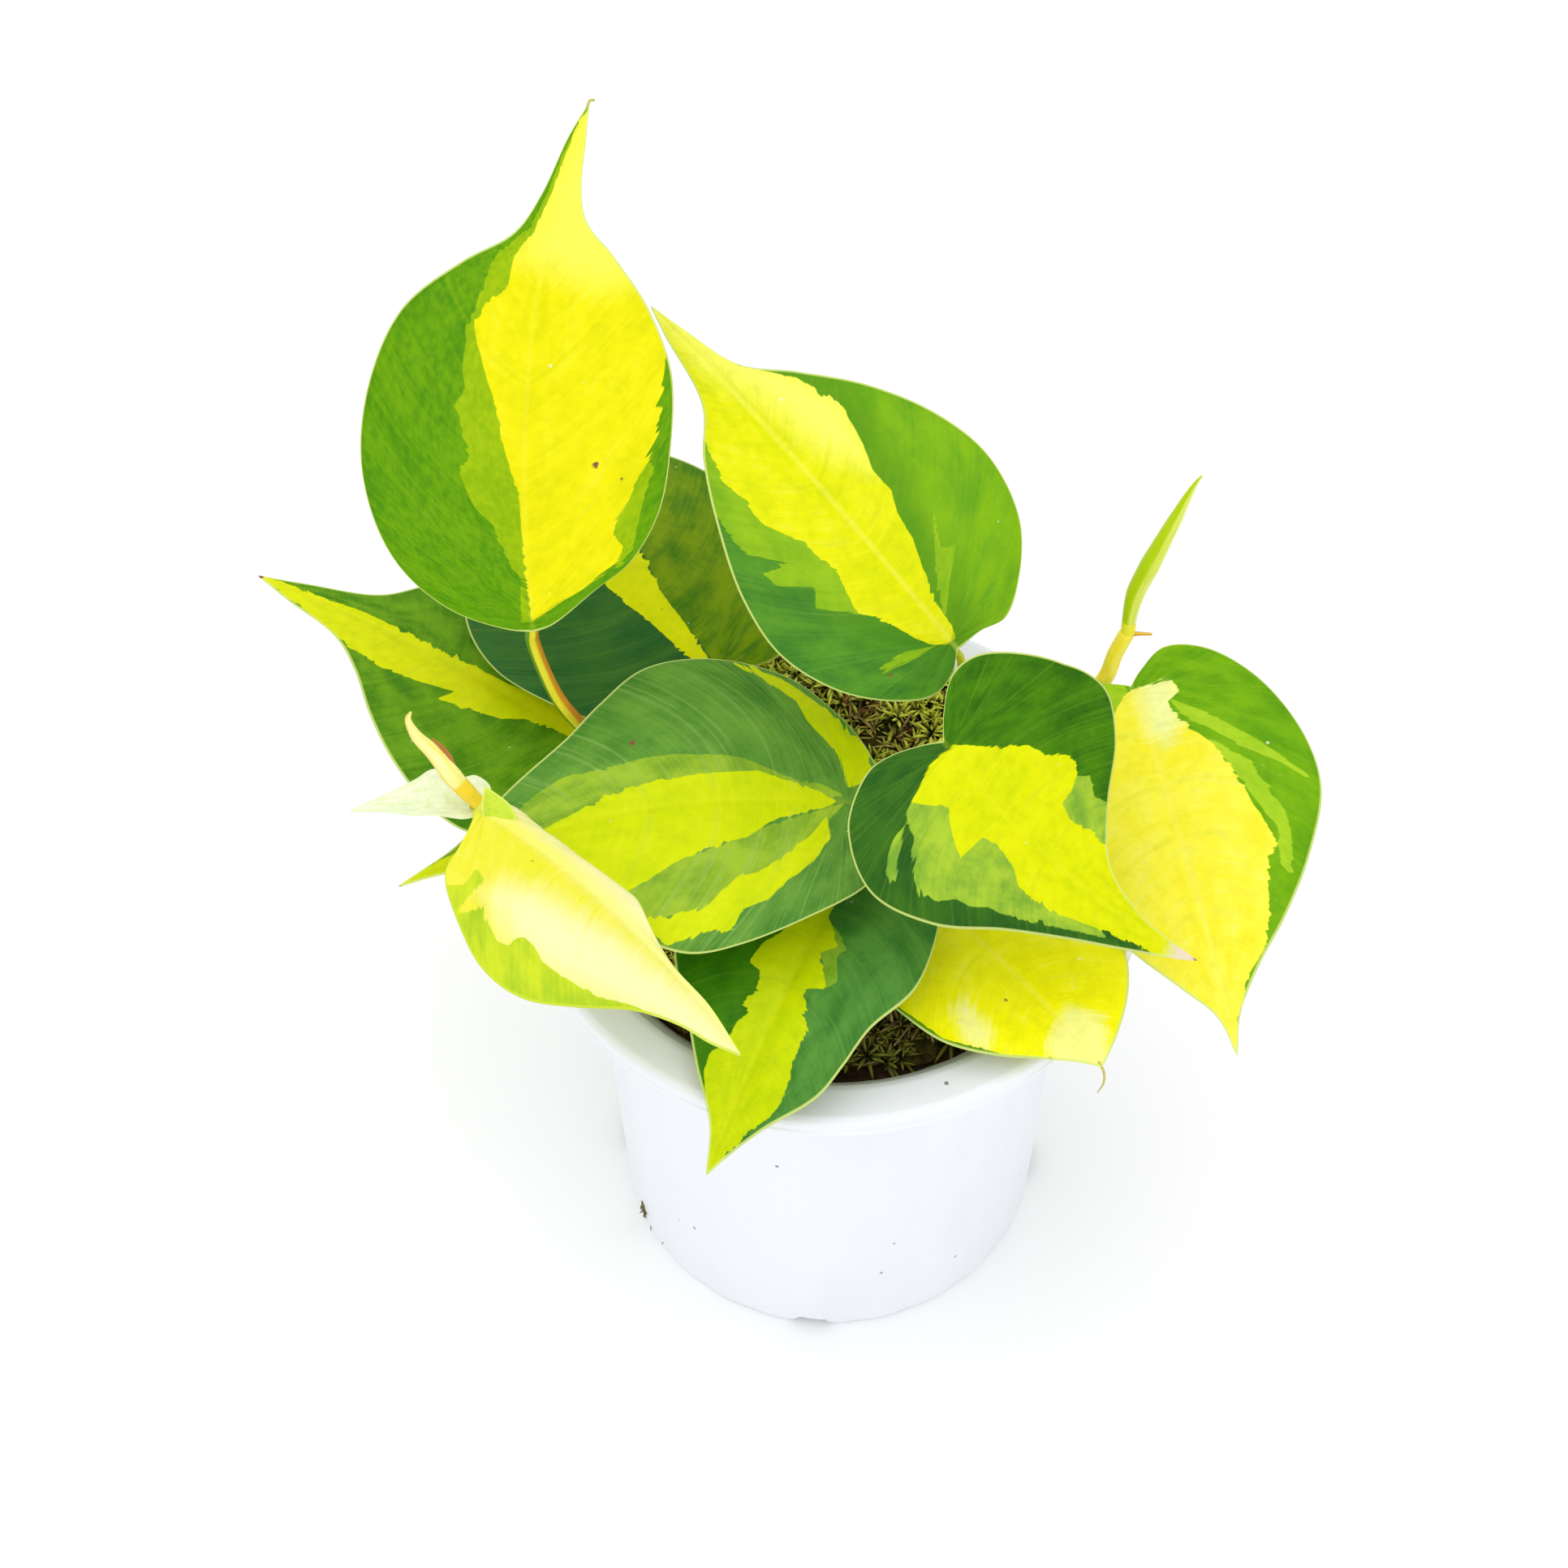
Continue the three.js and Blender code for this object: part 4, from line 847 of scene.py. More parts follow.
def stalk_arrays(route, radii, steps, sides=20, first=0, section=None):
    """A stalk along a smooth curve: rings of points at the radius blended between those given.

    The ring's own axes come from the curve's direction and one fixed direction, and both ends
    close in a dome. section gives each ring point's share of the radius from the share of the way
    along and the turn. comb holds the millimetres run and the cosine and sine of the turn.
    """
    path = smooth_curve(route, steps)
    marks = np.asarray(route, float)
    reach = np.concatenate([[0], np.cumsum(np.linalg.norm(np.diff(marks, axis=0), axis=1))])
    radius = np.interp(np.linspace(0, reach[-1], steps + 1), reach, radii)
    ahead = np.gradient(path, axis=0)
    ahead /= np.linalg.norm(ahead, axis=-1, keepdims=True)
    fixed = np.eye(3)[np.argmin(np.abs(path[-1] - path[0]))]
    side = np.cross(ahead, fixed)
    side /= np.linalg.norm(side, axis=-1, keepdims=True)
    up = np.cross(side, ahead)
    dome, lift = np.array([1.0, 0.92, 0.7, 0.0]), np.array([0.0, 0.4, 0.72, 1.0])
    start = path[0] - ahead[0] * (lift[::-1] * radius[0])[:, None]
    end = path[-1] + ahead[-1] * (lift * radius[-1])[:, None]
    path = np.vstack([start, path[1:-1], end])
    radius = np.concatenate([dome[::-1] * radius[0], radius[1:-1], dome * radius[-1]])
    extra = len(dome) - 1
    side = np.vstack([np.repeat(side[:1], extra, 0), side, np.repeat(side[-1:], extra, 0)])
    up = np.vstack([np.repeat(up[:1], extra, 0), up, np.repeat(up[-1:], extra, 0)])
    turn = np.linspace(0, 2 * np.pi, sides + 1)[None, :]
    run = np.concatenate([[0], np.cumsum(np.linalg.norm(np.diff(path, axis=0), axis=1))])[:, None]
    ring = radius[:, None] + 0 * turn
    if section:
        ring = ring * section(run / run[-1], turn)
    ring[:, -1] = ring[:, 0]
    cosine, sine = np.cos(turn), np.sin(turn)
    cosine[0, -1], sine[0, -1] = 1, 0
    points = (path[:, None] + side[:, None] * (ring * cosine)[..., None]
              + up[:, None] * (ring * sine)[..., None])
    comb = np.stack(np.broadcast_arrays(run, cosine, sine), -1)
    quads = grid_faces(len(path), sides + 1, first)
    return points.reshape(-1, 3), quads, comb.reshape(-1, 3)


def grooved(share, turn):
    """A shallow groove along the stalk's upper side."""
    return 1 - 0.09 * np.exp(-(((np.sin(turn) - 1) / 0.12) ** 2))


def jointed(joints, width=0.012, height=0.22):
    """Rings that swell round a stem at the given shares of its length."""
    def section(share, turn):
        bumps = [np.exp(-(((share - joint) / width) ** 2)) for joint in joints]
        return 1 + height * sum(bumps) + 0 * turn
    return section


def scrolled(share, turn):
    """A rolled sheet: the radius grows round the turn and drops back at the free edge."""
    wound = np.mod(turn - 2.2 - 1.6 * share, 2 * np.pi) / (2 * np.pi)
    step = np.clip((1 - wound) / 0.03, 0, 1)
    open_share = np.clip(share * 6 - 0.5, 0, 1)
    return 1 + open_share * (0.24 * wound * step - 0.1)


def make_stem(name, slot, skin, node, route, radii, steps, section=None, sides=24):
    """A stalk as a piece of its own; it stands for the node, if one is given."""
    points, quads, comb = stalk_arrays(route, radii, steps, sides, section=section)
    piece = make_piece(name, points, quads, [skin], fields={"comb": comb})
    settle(piece, slot, *([node] if node else []))


def leaf_stalk_route(leaf):
    """The stalk's points, which run on a little way under the blade."""
    base = bent(leaf, np.array([0.0, 0.0]), np.array([0.0, 1.0]))
    pitch, heading = math.radians(leaf["pitch"]), math.radians(leaf["heading"])
    ahead = np.array([math.cos(pitch) * math.cos(heading), math.cos(pitch) * math.sin(heading),
                      math.sin(pitch)])
    down = np.cross(ahead, base[1] - base[0])
    down /= np.linalg.norm(down)
    under = [[-1.2, 1.75], [4, 1.7], [10, 1.2]]
    places = bent(leaf, np.array([u for u, _ in under]), np.zeros(len(under)))
    tail = [place - down * depth for place, (_, depth) in zip(places, under)]
    count = len(leaf["petiole"])
    radii = list(PETIOLE_RADIUS * np.linspace(1, leaf.get("slim", 0.95), count))
    return [*leaf["petiole"], *tail], radii + [radii[-1] * share for share in (0.9, 0.62, 0.3)]


def make_leaf(name, leaf, stalk_skin):
    """A leaf as one piece: its blade, and its stalk under a skin of its own."""
    points, quads, finish_of, fields = blade_arrays(leaf, BLADE_THICKNESS, phase=RNG.random())
    route, radii = leaf_stalk_route(leaf)
    stem, stem_quads, stem_comb = stalk_arrays(route, radii, STALK_STEPS, first=len(points),
                                               section=grooved)
    for key, values in fields.items():
        fields[key] = np.concatenate([values, stem_comb if key == "comb" else np.zeros(len(stem))])
    finishes = [leaf_finish(name, False), leaf_finish(name, True), stalk_skin]
    piece = make_piece(name.replace("leaf_", "") + "_leaf", np.vstack([points, stem]),
                       np.vstack([quads, stem_quads]), finishes,
                       np.concatenate([finish_of, np.full(len(stem_quads), 2)]), fields)
    settle(piece, leaf["slot"], name)


# Pot


def rounded(outline, radius, arc=4):
    """The outline with each corner replaced by a short parabola that starts and ends radius away."""
    points = np.asarray(outline, float)
    before, after = np.roll(points, 1, axis=0) - points, np.roll(points, -1, axis=0) - points
    far = [np.linalg.norm(v, axis=1, keepdims=True) for v in (before, after)]
    cut = np.minimum(radius, np.minimum(*far) * 0.45)
    start, end = points + before / far[0] * cut, points + after / far[1] * cut
    t = np.linspace(0, 1, arc + 1)[None, :, None]
    curve = start[:, None] * (1 - t) ** 2 + points[:, None] * 2 * t * (1 - t) + end[:, None] * t**2
    return curve.reshape(-1, 2)


def wall_radius(z):
    """The wall's outer radius, which grows evenly from the foot to the shoulder."""
    return FOOT_RADIUS + (WALL_TOP_RADIUS - FOOT_RADIUS) * z / (POT_HEIGHT - SHOULDER_DEPTH)


def pot_profile():
    """The pot's outline [radius, height], from the centre pad outwards, over the rim and inside."""
    lip = POT_HEIGHT - RIM_DEPTH
    shoulder = POT_HEIGHT - SHOULDER_DEPTH
    floor_top = FLOOR_UNDERSIDE + FLOOR_THICKNESS
    foot_inner = FOOT_RADIUS - FOOT_RING_WIDTH
    return [
        [CENTRE_PAD_RADIUS, 0], [CENTRE_PAD_RADIUS + 1, FLOOR_UNDERSIDE],
        [foot_inner - 1, FLOOR_UNDERSIDE], [foot_inner, 0], [FOOT_RADIUS - 0.8, 0],
        [wall_radius(1.2), 1.2], [wall_radius(shoulder), shoulder],
        [WALL_TOP_RADIUS + 2.6, POT_HEIGHT - 4.8], [CREST_RADIUS, POT_HEIGHT - 2.2],
        [RIM_RADIUS - WALL, POT_HEIGHT - 1.9], [RIM_RADIUS - WALL, lip], [RIM_RADIUS, lip],
        [RIM_RADIUS, lip + 0.9], [RIM_RADIUS - 0.35, lip + 1.3], [RIM_RADIUS - 0.35, lip + 2.4],
        [RIM_RADIUS - 0.8, POT_HEIGHT - 0.6], [RIM_RADIUS - 2, POT_HEIGHT], [CREST_RADIUS, POT_HEIGHT],
        [CREST_RADIUS - 1.4, POT_HEIGHT - 0.6], [WALL_TOP_RADIUS, POT_HEIGHT - 5],
        [wall_radius(shoulder) - WALL, shoulder - 1], [wall_radius(floor_top + 3) - WALL, floor_top + 3],
        [wall_radius(floor_top) - WALL - 2, floor_top],
    ]


def foot_notches(angle):
    """The height of the arches cut in the foot ring: flat tops between sloping ends."""
    first, step = math.radians(NOTCHES["first"]), 2 * np.pi / NOTCHES["count"]
    off = np.abs(np.mod(angle - first + step / 2, step) - step / 2) * FOOT_RADIUS
    outer, inner = NOTCHES["width"] / 2 + 0.4, NOTCHES["top_width"] / 2
    return NOTCHES["height"] * np.clip((outer - off) / (outer - inner), 0, 1)


def drain_cutter():
    """Upright round pegs, one for each drain hole, as one closed mesh."""
    turns = 48
    angle = full_turn(turns)
    reach = np.array([0, 1, 1, 0])[:, None] * DRAIN_HOLES["radius"]
    height = np.array([-2, -2, 7, 7])[:, None] + 0 * angle
    points, quads = [], []
    for k in range(DRAIN_HOLES["count"]):
        turn = 2 * np.pi * (k + 0.5) / DRAIN_HOLES["count"]
        x, y = DRAIN_HOLES["circle"] * math.cos(turn), DRAIN_HOLES["circle"] * math.sin(turn)
        peg = np.stack([x + reach * np.cos(angle), y + reach * np.sin(angle), height], -1)
        quads.append(grid_faces(4, turns + 1, len(points) * 4 * (turns + 1), flip=True))
        points.append(peg.reshape(-1, 3))
    return make_piece("drain_pegs", np.vstack(points), np.vstack(quads), [])


def make_pot():
    """The pot: its outline turned round the axis, with the wall pressed into faint flats.

    The foot ring's lower edge is lifted where a notch is, and the drain holes are cut out.
    """
    inner = rounded(pot_profile(), 0.5)
    outline = np.vstack([[0, 0], inner[2:-2], [0, inner[-1][1]]])
    angle = full_turn(POT_TURNS)
    radius = outline[:, 0][:, None] + 0 * angle
    height = outline[:, 1][:, None] + 0 * angle
    flat = 1 - np.abs(np.cos(angle * WALL_FLATS / 2)) ** 0.7
    wall = (height > 0.6) & (height < POT_HEIGHT - SHOULDER_DEPTH + 1) & (radius > FOOT_RADIUS - 6)
    radius = radius - np.where(wall, FLAT_DEPTH * flat, 0)
    ring = radius > FOOT_RADIUS - FOOT_RING_WIDTH - 1.6
    height = np.where(ring, np.maximum(height, foot_notches(angle)), height)
    points = np.stack([radius * np.cos(angle), radius * np.sin(angle), height], -1)
    quads = grid_faces(len(outline), POT_TURNS + 1, flip=True)
    piece = make_piece("pot_shell", points.reshape(-1, 3), quads, [pot_finish()], sharp=40)
    pegs = drain_cutter()
    cut = piece.modifiers.new("drain_holes", "BOOLEAN")
    cut.operation = "DIFFERENCE"
    cut.object = pegs
    graph = bpy.context.evaluated_depsgraph_get()
    holed = bpy.data.meshes.new_from_object(piece.evaluated_get(graph))
    piece.modifiers.clear()
    piece.data = holed
    bpy.data.objects.remove(pegs)
    settle(piece, "pot_plastic", "pot")


# Filling


def make_soil():
    """The soil: a plain block under a lumpy top, whose height is a product of sine waves."""
    inner = wall_radius(SOIL_TOP) - WALL - 0.6
    rings, turns = 60, 160
    r = np.linspace(0, 1, rings)[:, None] * inner
    angle = full_turn(turns)[None, :]
    x, y = r * np.cos(angle), r * np.sin(angle)
    lumps = 0.35 * np.sin(x * 0.7 + 2 * np.sin(y * 0.3)) * np.cos(y * 0.8) - 0.35
    top = SOIL_TOP + lumps * (r < inner * 0.98)
    low = 5.0
    foot_radius = wall_radius(low) - WALL - 3
    skirt = np.stack([foot_radius * np.cos(angle[0]), foot_radius * np.sin(angle[0]),
                      low + 0 * angle[0]], -1)
    centre = np.array([0, 0, low]) + 0 * skirt
    points = np.concatenate([np.stack([x, y, top], -1), skirt[None], centre[None]])
    piece = make_piece("soil_bed", points.reshape(-1, 3), grid_faces(rings + 2, turns + 1),
                       [crumb_finish("potting_soil", (28, 19, 13), (78, 56, 38), 260.0)])
    settle(piece, "soil", "soil")


def moss_height(x, y):
    """The moss surface: low mounds as a sum of products of sine waves, and a bank against the back
    wall that rises with the distance from the middle."""
    mound = np.sin(x * 0.31 + 1) * np.cos(y * 0.27) + 0.6 * np.sin(x * 0.17 - y * 0.4)
    fine = 0.25 * np.sin(x * 1.7 + np.cos(y * 1.1) * 2) * np.cos(y * 1.5)
    bank = BANK_HEIGHT * np.clip((np.hypot(x, y) - 28) / 18, 0, 1) * np.clip((y + 4) / 26, 0, 1)
    return MOSS_BOTTOM + MOSS_THICKNESS * 0.8 + 0.8 * mound + fine + bank


def make_moss_cushion():
    """The moss bed: a disc with a wavy outline that falls to the soil at its rim, closed below."""
    rings, turns = 90, 220
    angle = full_turn(turns)[None, :]
    back = np.clip(np.sin(angle) * 2, 0, 1)
    wavy = 2.4 - 0.9 * np.sin(5 * angle) - 0.7 * np.sin(11 * angle + 2)
    edge = wall_radius(SOIL_TOP) - WALL - 0.6 * back - wavy * (1 - back)
    r = np.linspace(0, 1, rings)[:, None]
    x, y = r * edge * np.cos(angle), r * edge * np.sin(angle)
    fall = 1 - r**(10 + 30 * back)
    top = MOSS_BOTTOM + 0.1 + (moss_height(x, y) - MOSS_BOTTOM - 0.1) * fall
    under = np.stack([x, y, MOSS_BOTTOM + 0 * x], -1)[::-1]
    points = np.concatenate([np.stack([x, y, top], -1), under])
    skin = crumb_finish("moss_bed", (26, 30, 8), (96, 84, 36), 330.0)
    piece = make_piece("moss_cushion", points.reshape(-1, 3), grid_faces(2 * rings, turns + 1), [skin])
    settle(piece, "moss", "moss_mat")


def needle_arrays(base, heading, rise, droop, length, width, thin):
    """Curved needles, one for each entry: closed three-sided strips, pointed at both ends.

    A needle's middle line starts at its base and turns from its rise down by its droop.
    """
    t = np.array([0, 0.1, 0.4, 0.75, 1.0])[None, :]
    girth = np.array([0, 0.7, 1.0, 0.62, 0])[None, :] * width[:, None] / 2
    slope = rise[:, None] - droop[:, None] * t / 2
    flat, up = length[:, None] * t * np.cos(slope), length[:, None] * t * np.sin(slope)
    ahead = np.stack([np.cos(heading), np.sin(heading), 0 * heading], -1)[:, None]
    side = np.stack([-np.sin(heading), np.cos(heading), 0 * heading], -1)[:, None]
    middle = base[:, None] + ahead * flat[..., None] + np.array([0, 0, 1.0]) * up[..., None]
    lift = (np.array([0, 0, 1.0]) * np.cos(slope)[..., None] - ahead * np.sin(slope)[..., None])
    corners = np.radians([90, 210, 330, 90])
    across = girth[..., None] * np.cos(corners)
    above = girth[..., None] * np.sin(corners) * thin
    points = (middle[:, :, None] + side[:, :, None] * across[..., None]
              + lift[:, :, None] * above[..., None])
    cells = grid_faces(5, 4, flip=True)
    quads = (cells[None] + (np.arange(len(base)) * 20)[:, None, None]).reshape(-1, 4)
    return points.reshape(-1, 3), quads, np.repeat(t, len(base), 0)


def scattered(count, radius):
    """Places spread evenly over a disc, in a sunflower's spiral, and shaken a little."""
    k = np.arange(count)
    r = radius * np.sqrt((k + 0.5) / count)
    angle = k * math.pi * (3 - math.sqrt(5))
    shake = RNG.normal(0, 0.9, (count, 2))
    return np.stack([r * np.cos(angle), r * np.sin(angle)], -1) + shake


def make_tufts():
    """Star moss: tufts of needles that fan out and arch, thinner and browner in dry places."""
    fan = TUFT_NEEDLES
    wall = wall_radius(SOIL_TOP) - WALL
    spot = scattered(TUFT_PLACES, wall + 3.2)
    spot = spot[np.hypot(spot[:, 0], spot[:, 1]) < wall - 3 + 6 * (spot[:, 1] > 8)]
    count = len(spot)
    x, y = spot[:, 0], spot[:, 1]
    dryness = 0.42 + 0.36 * np.sin(x * 0.2 + 0.2) * np.cos(y * 0.17) + RNG.normal(0, 0.2, count)
    size = RNG.uniform(0.7, 1.25, count) * np.where(dryness > 0.75, 0.7, 1.0)
    foot = np.stack([x, y, moss_height(x, y) - 0.5 + RNG.uniform(0, 1.4, count) * size], -1)
    each = np.repeat(np.arange(count), fan)
    order = np.tile(np.arange(fan), count)
    heading = order * 2.4 + np.repeat(RNG.uniform(0, 7, count), fan) + RNG.normal(0, 0.2, len(each))
    rise = np.radians(18 + 58 * (order / fan)) + RNG.normal(0, 0.14, len(each))
    droop = RNG.uniform(0.2, 1.1, len(each))
    length = TUFT_NEEDLE_LENGTH * size[each] * (1.1 - 0.45 * order / fan)
    points, quads, along = needle_arrays(foot[each], heading, rise, droop, length,
                                         TUFT_NEEDLE_WIDTH * size[each], 0.5)
    hue = np.clip(dryness[each] + RNG.normal(0, 0.1, len(each)), 0, 1)
    comb = np.stack([along, hue[:, None] + 0 * along, RNG.random(len(each))[:, None] + 0 * along], -1)
    comb = np.repeat(comb[:, :, None], 4, 2).reshape(-1, 3)
    skin = Finish("star_moss")
    share, dry, pick = skin.parts(skin.attribute("comb", 1))
    grain = skin.noise(skin.place(), 1600.0, 2.0)
    fresh = skin.blend(skin.ramp(share + (pick - 0.5) * 0.4, 0.1, 0.8), colour(22, 32, 2),
                       colour(252, 254, 100))
    faded = skin.blend(skin.ramp(share, 0.1, 1.0), colour(84, 54, 26), colour(246, 214, 140))
    tone = skin.blend(skin.ramp(dry + (pick - 0.5) * 0.3, 0.6, 0.85), fresh, faded)
    # Darker towards the front: mostly painted shade over the front of the moss, with some of the
    # darkening standing for damp moss.
    front_shade_and_damp = skin.ramp(skin.parts(skin.place())[1], -0.036, -0.016, 0.72, 0.0)
    tone = skin.blend(front_shade_and_damp, tone, colour(20, 26, 2))
    tone = skin.blend(skin.ramp(grain, 0.45, 0.7, 0.0, 0.2), tone, colour(30, 34, 10))
    finish = skin.surface({"Base Color": tone, "Roughness": 0.7, "Specular IOR Level": 0.25,
                           "Normal": skin.bump(grain, 0.4, 0.1)})
    piece = make_piece("moss_tufts", points, quads, [finish], fields={"comb": comb})
    settle(piece, "moss")


def make_litter():
    """Dead strands and bark slivers lying on the moss, each a long flat needle."""
    count = STRAND_COUNT
    spot = scattered(count, wall_radius(SOIL_TOP) - WALL - 3)
    thick = RNG.random(count) < SLIVER_SHARE
    length = np.where(thick, RNG.uniform(3, 6.5, count), RNG.uniform(3, 9, count))
    width = np.where(thick, RNG.uniform(1.4, 2.4, count), RNG.uniform(0.45, 0.9, count))
    height = moss_height(spot[:, 0], spot[:, 1]) + np.where(thick, 0.1, RNG.uniform(0.8, 2.8, count))
    inward = np.arctan2(-spot[:, 1], -spot[:, 0]) + RNG.normal(0, 1.0, count)
    rise = np.where(thick, RNG.normal(0, 0.12, count), RNG.uniform(-0.1, 0.7, count))
    droop = np.where(thick, 0.1, RNG.uniform(0.2, 1.6, count))
    points, quads, along = needle_arrays(np.column_stack([spot, height]), inward, rise, droop, length,
                                         width, 0.4)
    pick = RNG.random(count)[:, None] + 0 * along
    comb = np.repeat(np.stack([along, thick[:, None] + 0 * along, pick], -1)[:, :, None], 4, 2)
    skin = Finish("dead_moss_and_bark")
    _, bark, hue = skin.parts(skin.attribute("comb", 1))
    grain = skin.noise(skin.place(), 900.0, 3.0)
    straw = skin.blend(hue, colour(112, 72, 40), colour(236, 206, 140))
    chip = skin.blend(hue, colour(120, 56, 34), colour(196, 120, 84))
    tone = skin.blend(bark, straw, chip)
    tone = skin.blend(skin.ramp(grain, 0.4, 0.65, 0.0, 0.55), tone, colour(44, 28, 16))
    finish = skin.surface({"Base Color": tone, "Roughness": 0.8, "Specular IOR Level": 0.2,
                           "Normal": skin.bump(grain, 0.6, 0.2)})
    piece = make_piece("dead_strands", points, quads, [finish], fields={"comb": comb.reshape(-1, 3)})
    settle(piece, "moss")


def make_flap(name, slot, skin, blade, thickness, sinus, ripple, *nodes):
    """A small blade without a stalk: the papery sheath below the shoot, or the young leaf's ear."""
    points, quads, finish_of, fields = blade_arrays(blade, thickness, sinus, ripple)
    finishes = [leaf_finish(skin, False), leaf_finish(skin, True)]
    settle(make_piece(name, points, quads, finishes, finish_of, fields), slot, *nodes)


def make_stuck_moss():
    """A sprig of moss that sticks to the wall's foot, at the left, and three thin threads below."""
    count = SPRIG_NEEDLES
    thread = np.arange(count) >= count - SPRIG_THREADS
    angle = np.radians(np.where(thread, RNG.uniform(208, 216, count), RNG.normal(205, 0.9, count)))
    height = np.where(thread, RNG.uniform(2, 3.4, count), np.clip(RNG.normal(5.6, 1.3, count), 3, 9))
    radius = wall_radius(height) - 0.15
    base = np.stack([radius * np.cos(angle), radius * np.sin(angle), height], -1)
    points, quads, _ = needle_arrays(base, angle + RNG.normal(0, 1.0, count),
                                         RNG.uniform(-1.5, -0.8, count), RNG.uniform(0, 0.4, count),
                                         RNG.uniform(1.2, 2.6, count),
                                         np.where(thread, 0.25, RNG.uniform(0.5, 1.0, count)), 0.6)
    piece = make_piece("stuck_crumbs", points, quads,
                       [crumb_finish("stuck_moss", (30, 32, 22), (150, 146, 84), 700.0)])
    settle(piece, "moss")


def make_shoot():
    """The new shoot: a curved bud with an oval joint, and a dry scale on its right side."""
    skin = stalk_finish("shoot_skin", (246, 238, 128), (252, 248, 180), (240, 224, 80),
                        left=(244, 214, 120), foot=(246, 212, 20), foot_length=8.8)
    make_stem("shoot_bud", "shoot", skin, "shoot_tip", SHOOT_ROUTE, SHOOT_RADII, 90,
              jointed([0.22], 0.05, 0.1))
    scale_route = [[-72.4, -9.7, 159.8], [-73.5, -8.6, 162.2], [-74.9, -7.7, 164.2],
                   [-76.6, -6.6, 165.6]]
    dry = stalk_finish("dry_scale", (176, 116, 50), (206, 150, 80), (110, 66, 30))
    make_stem("bud_scale", "shoot", dry, None, scale_route, [0.3, 0.62, 0.5, 0.12], 30)


def make_rolled_leaf():
    """The unopened leaf: a sheet rolled into a spear, lime on one side and cream on the other."""
    skin = stalk_finish("rolled_leaf_skin", (214, 230, 76), (232, 240, 130), (204, 222, 30),
                        left=(184, 214, 14), right=(250, 250, 206), foot=(252, 240, 70),
                        foot_length=4.5)
    make_stem("rolled_spear", "leaf_lime", skin, "rolled_leaf", SPEAR_ROUTE, SPEAR_RADII, 160, scrolled,
              sides=64)


def make_vines():
    """The three vines, with rings at their joints, and the brown-tipped stub beside the spear."""
    pale = stalk_finish("right_vine_skin", (255, 232, 36), (255, 242, 110), (252, 208, 36))
    green = stalk_finish("vine_skin", (196, 196, 50), (222, 216, 90), (130, 150, 40))
    for name, route in VINES.items():
        slender = name == "vine_right"
        end = SLENDER_VINE_END_RADIUS if slender else VINE_RADIUS
        make_stem(name + "_stem", "stem", pale if slender else green, name, route,
                  np.linspace(VINE_RADIUS, end, len(route)), VINE_STEPS, jointed(VINE_JOINTS[name]))
    stub = stalk_finish("stub_skin", (236, 206, 80), (196, 120, 50), (130, 78, 40))
    make_stem("root_stub", "stem", stub, None, [[59, 36.2, 141.6], [61, 36, 142], [63.4, 35.9, 142]],
              [0.6, 0.42, 0.3], 16)


def make_tip_threads():
    """Dried threads that hang from two leaf tips."""
    skin = stalk_finish("dry_thread", (186, 176, 70), (214, 206, 120), (120, 96, 40))
    bow = np.array([0.5, -0.3, 0])
    for name, fall in THREAD_FALLS.items():
        leaf, fall = LEAVES[name], np.array(fall)
        tip, ahead = bent(leaf, np.array([leaf["length"] - 1.0, leaf["length"]]), np.zeros(2))
        way = (ahead - tip) / np.linalg.norm(ahead - tip)
        route = [tip, ahead + way * 0.5 + fall * 0.1, ahead + way * 0.5 + bow + fall * 0.5,
                 ahead + way * 0.3 + fall]
        make_stem(name.replace("leaf_", "") + "_thread", leaf["slot"], skin, None, route,
                  [0.3, 0.28, 0.22, 0.14], 24, sides=10)


STALK_TINTS = {
    "leaf_top_left": dict(base=(236, 222, 30), light=(248, 240, 80), dark=(214, 200, 30),
                          left=(96, 146, 20), right=(222, 150, 44)),
    "leaf_back": dict(base=(206, 214, 30), light=(226, 228, 60), dark=(150, 176, 30)),
}
PLAIN_STALK = dict(base=(196, 204, 40), light=(226, 224, 80), dark=(126, 160, 34))

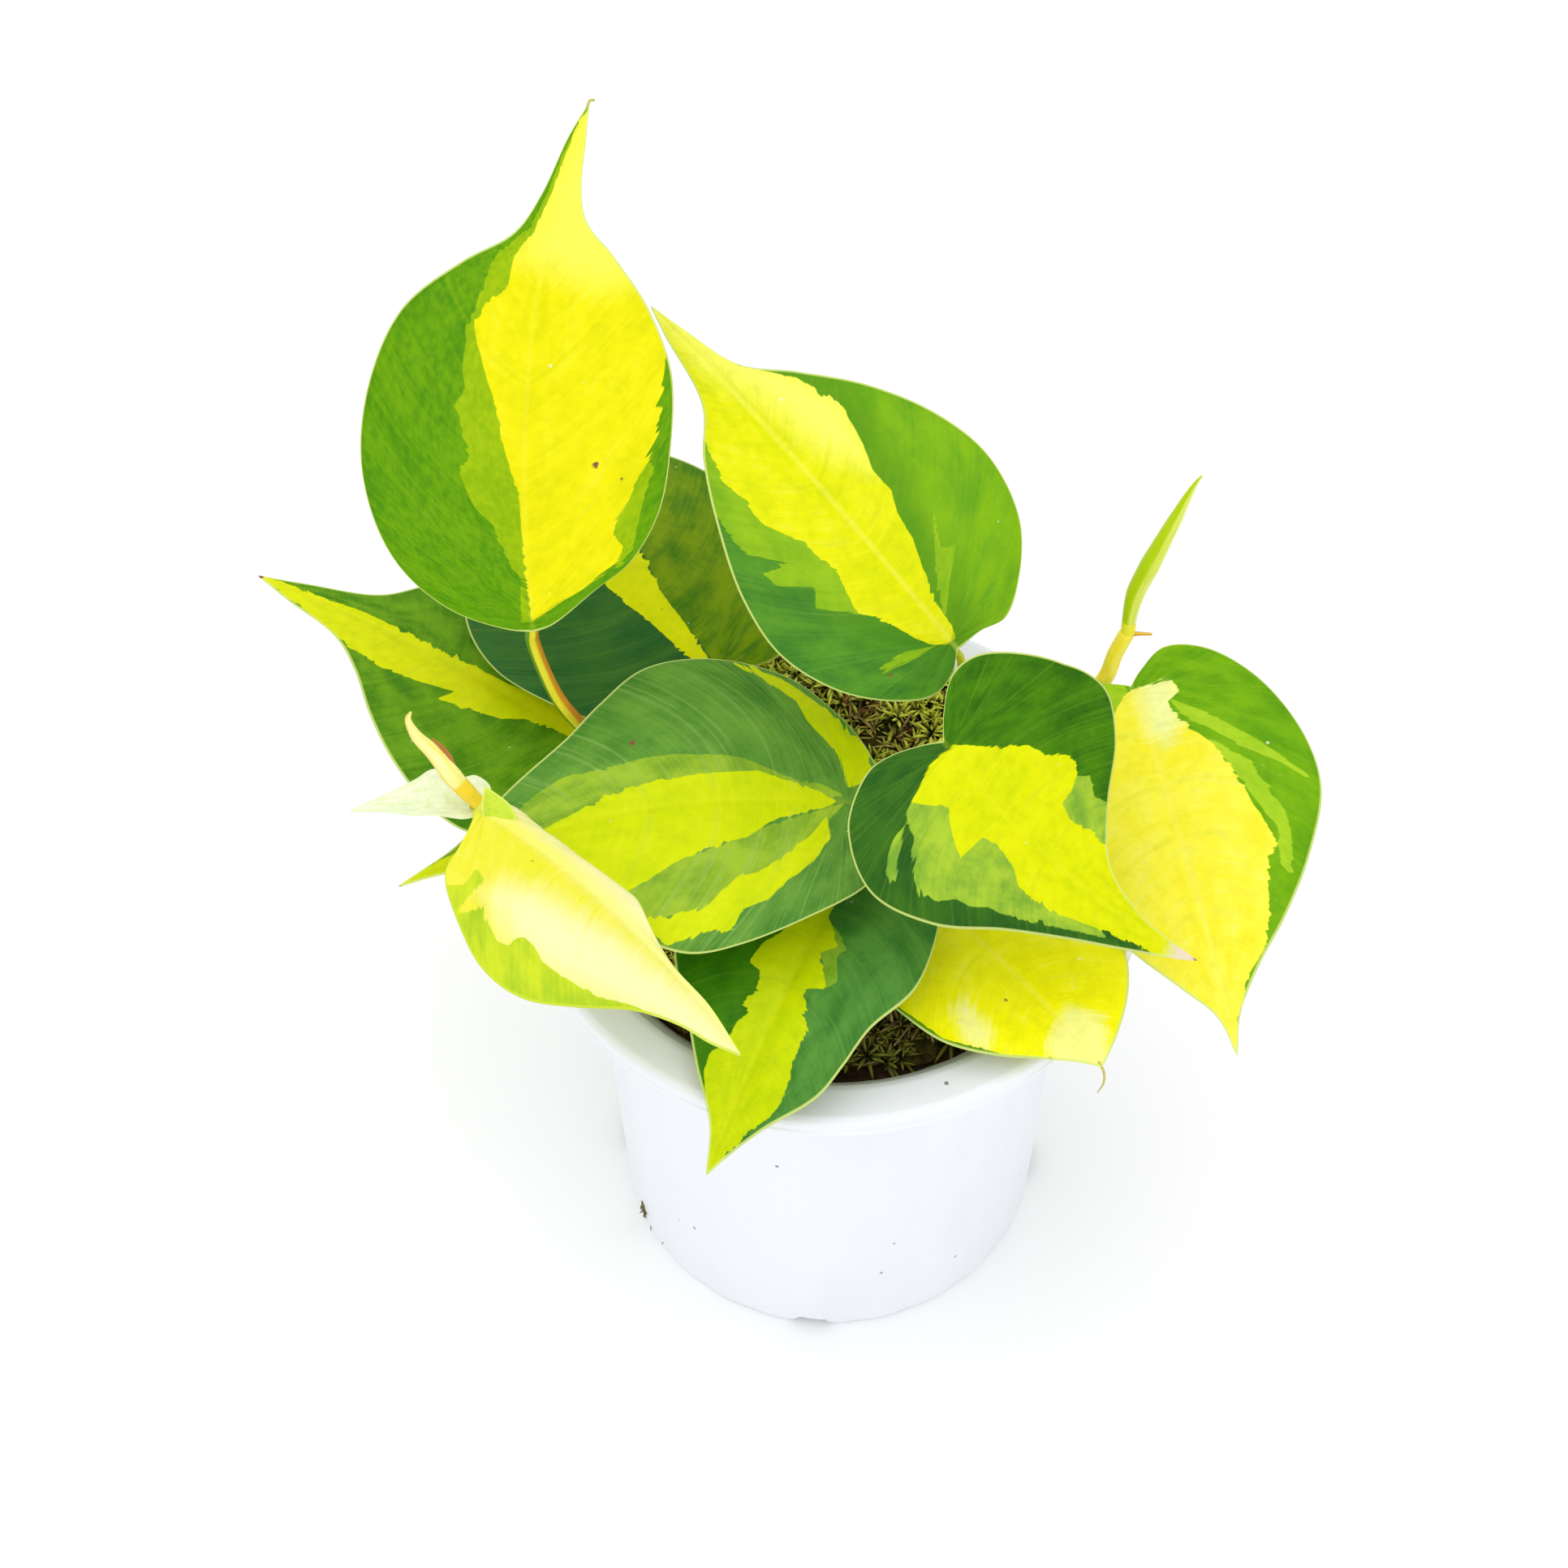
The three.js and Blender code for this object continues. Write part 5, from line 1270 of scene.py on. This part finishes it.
make_pot()
make_soil()
make_moss_cushion()
make_tufts()
make_litter()
make_vines()
for name, leaf in LEAVES.items():
    make_leaf(name, leaf, stalk_finish(name + "_stalk", **STALK_TINTS.get(name, PLAIN_STALK)))
make_flap("papery_sheath", "sheath", "sheath", SHEATH, SHEATH_THICKNESS, 0.5, 0.25, "sheath")
make_flap("young_leaf_ear", "leaf_cream", "leaf_ear", EAR, EAR_THICKNESS, 0.3, 0.1)
make_stuck_moss()
make_shoot()
make_rolled_leaf()
make_tip_threads()

# Light, floor and camera


def make_floor():
    """The white table that the photo's shadow falls on; it isn't part of the plant."""
    half = FLOOR_HALF
    points = [[-half, -half, 0], [half, -half, 0], [half, half, 0], [-half, half, 0]]
    skin = Finish("pale_floor")
    floor = make_piece("floor", points, np.array([[0, 1, 2, 3]]),
                       [skin.surface({"Base Color": colour(252, 252, 253), "Roughness": 0.6})])


def make_light(name, place, aim, size, power):
    """A square soft light at a place in mm, turned towards the aim."""
    lamp = bpy.data.lights.new(name, "AREA")
    lamp.energy = power
    lamp.size = size * MM
    holder = bpy.data.objects.new(name, lamp)
    bpy.context.scene.collection.objects.link(holder)
    holder.location = np.array(place) * MM
    way = np.array(aim, float) - np.array(place, float)
    way /= np.linalg.norm(way)
    holder.rotation_euler = (math.acos(-way[2]), 0, math.atan2(way[1], way[0]) - math.pi / 2)


def make_sky(strength):
    """An even white light from all sides."""
    world = bpy.data.worlds.new("studio")
    bpy.context.scene.world = world
    world.use_nodes = True
    back = world.node_tree.nodes["Background"]
    back.inputs["Color"].default_value = (1, 1, 1, 1)
    back.inputs["Strength"].default_value = strength


def make_camera():
    """A long lens, looking down on the plant from the front."""
    lens = bpy.data.cameras.new("photo_camera")
    lens.sensor_width = SENSOR_WIDTH
    lens.lens = FOCAL_PIXELS * SENSOR_WIDTH / PHOTO_PIXELS
    lens.clip_end = 20
    holder = bpy.data.objects.new("photo_camera", lens)
    bpy.context.scene.collection.objects.link(holder)
    elevation = math.radians(CAMERA_ELEVATION)
    back = np.array([0, -math.cos(elevation), math.sin(elevation)])
    holder.location = (np.array(CAMERA_TARGET) + back * CAMERA_DISTANCE) * MM
    holder.rotation_euler = (math.pi / 2 - elevation, 0, 0)
    bpy.context.scene.camera = holder


make_floor()
for name, light in LIGHTS.items():
    make_light(name, **light)
make_sky(SKY_STRENGTH)
make_camera()
bpy.context.scene.view_settings.view_transform = "Standard"
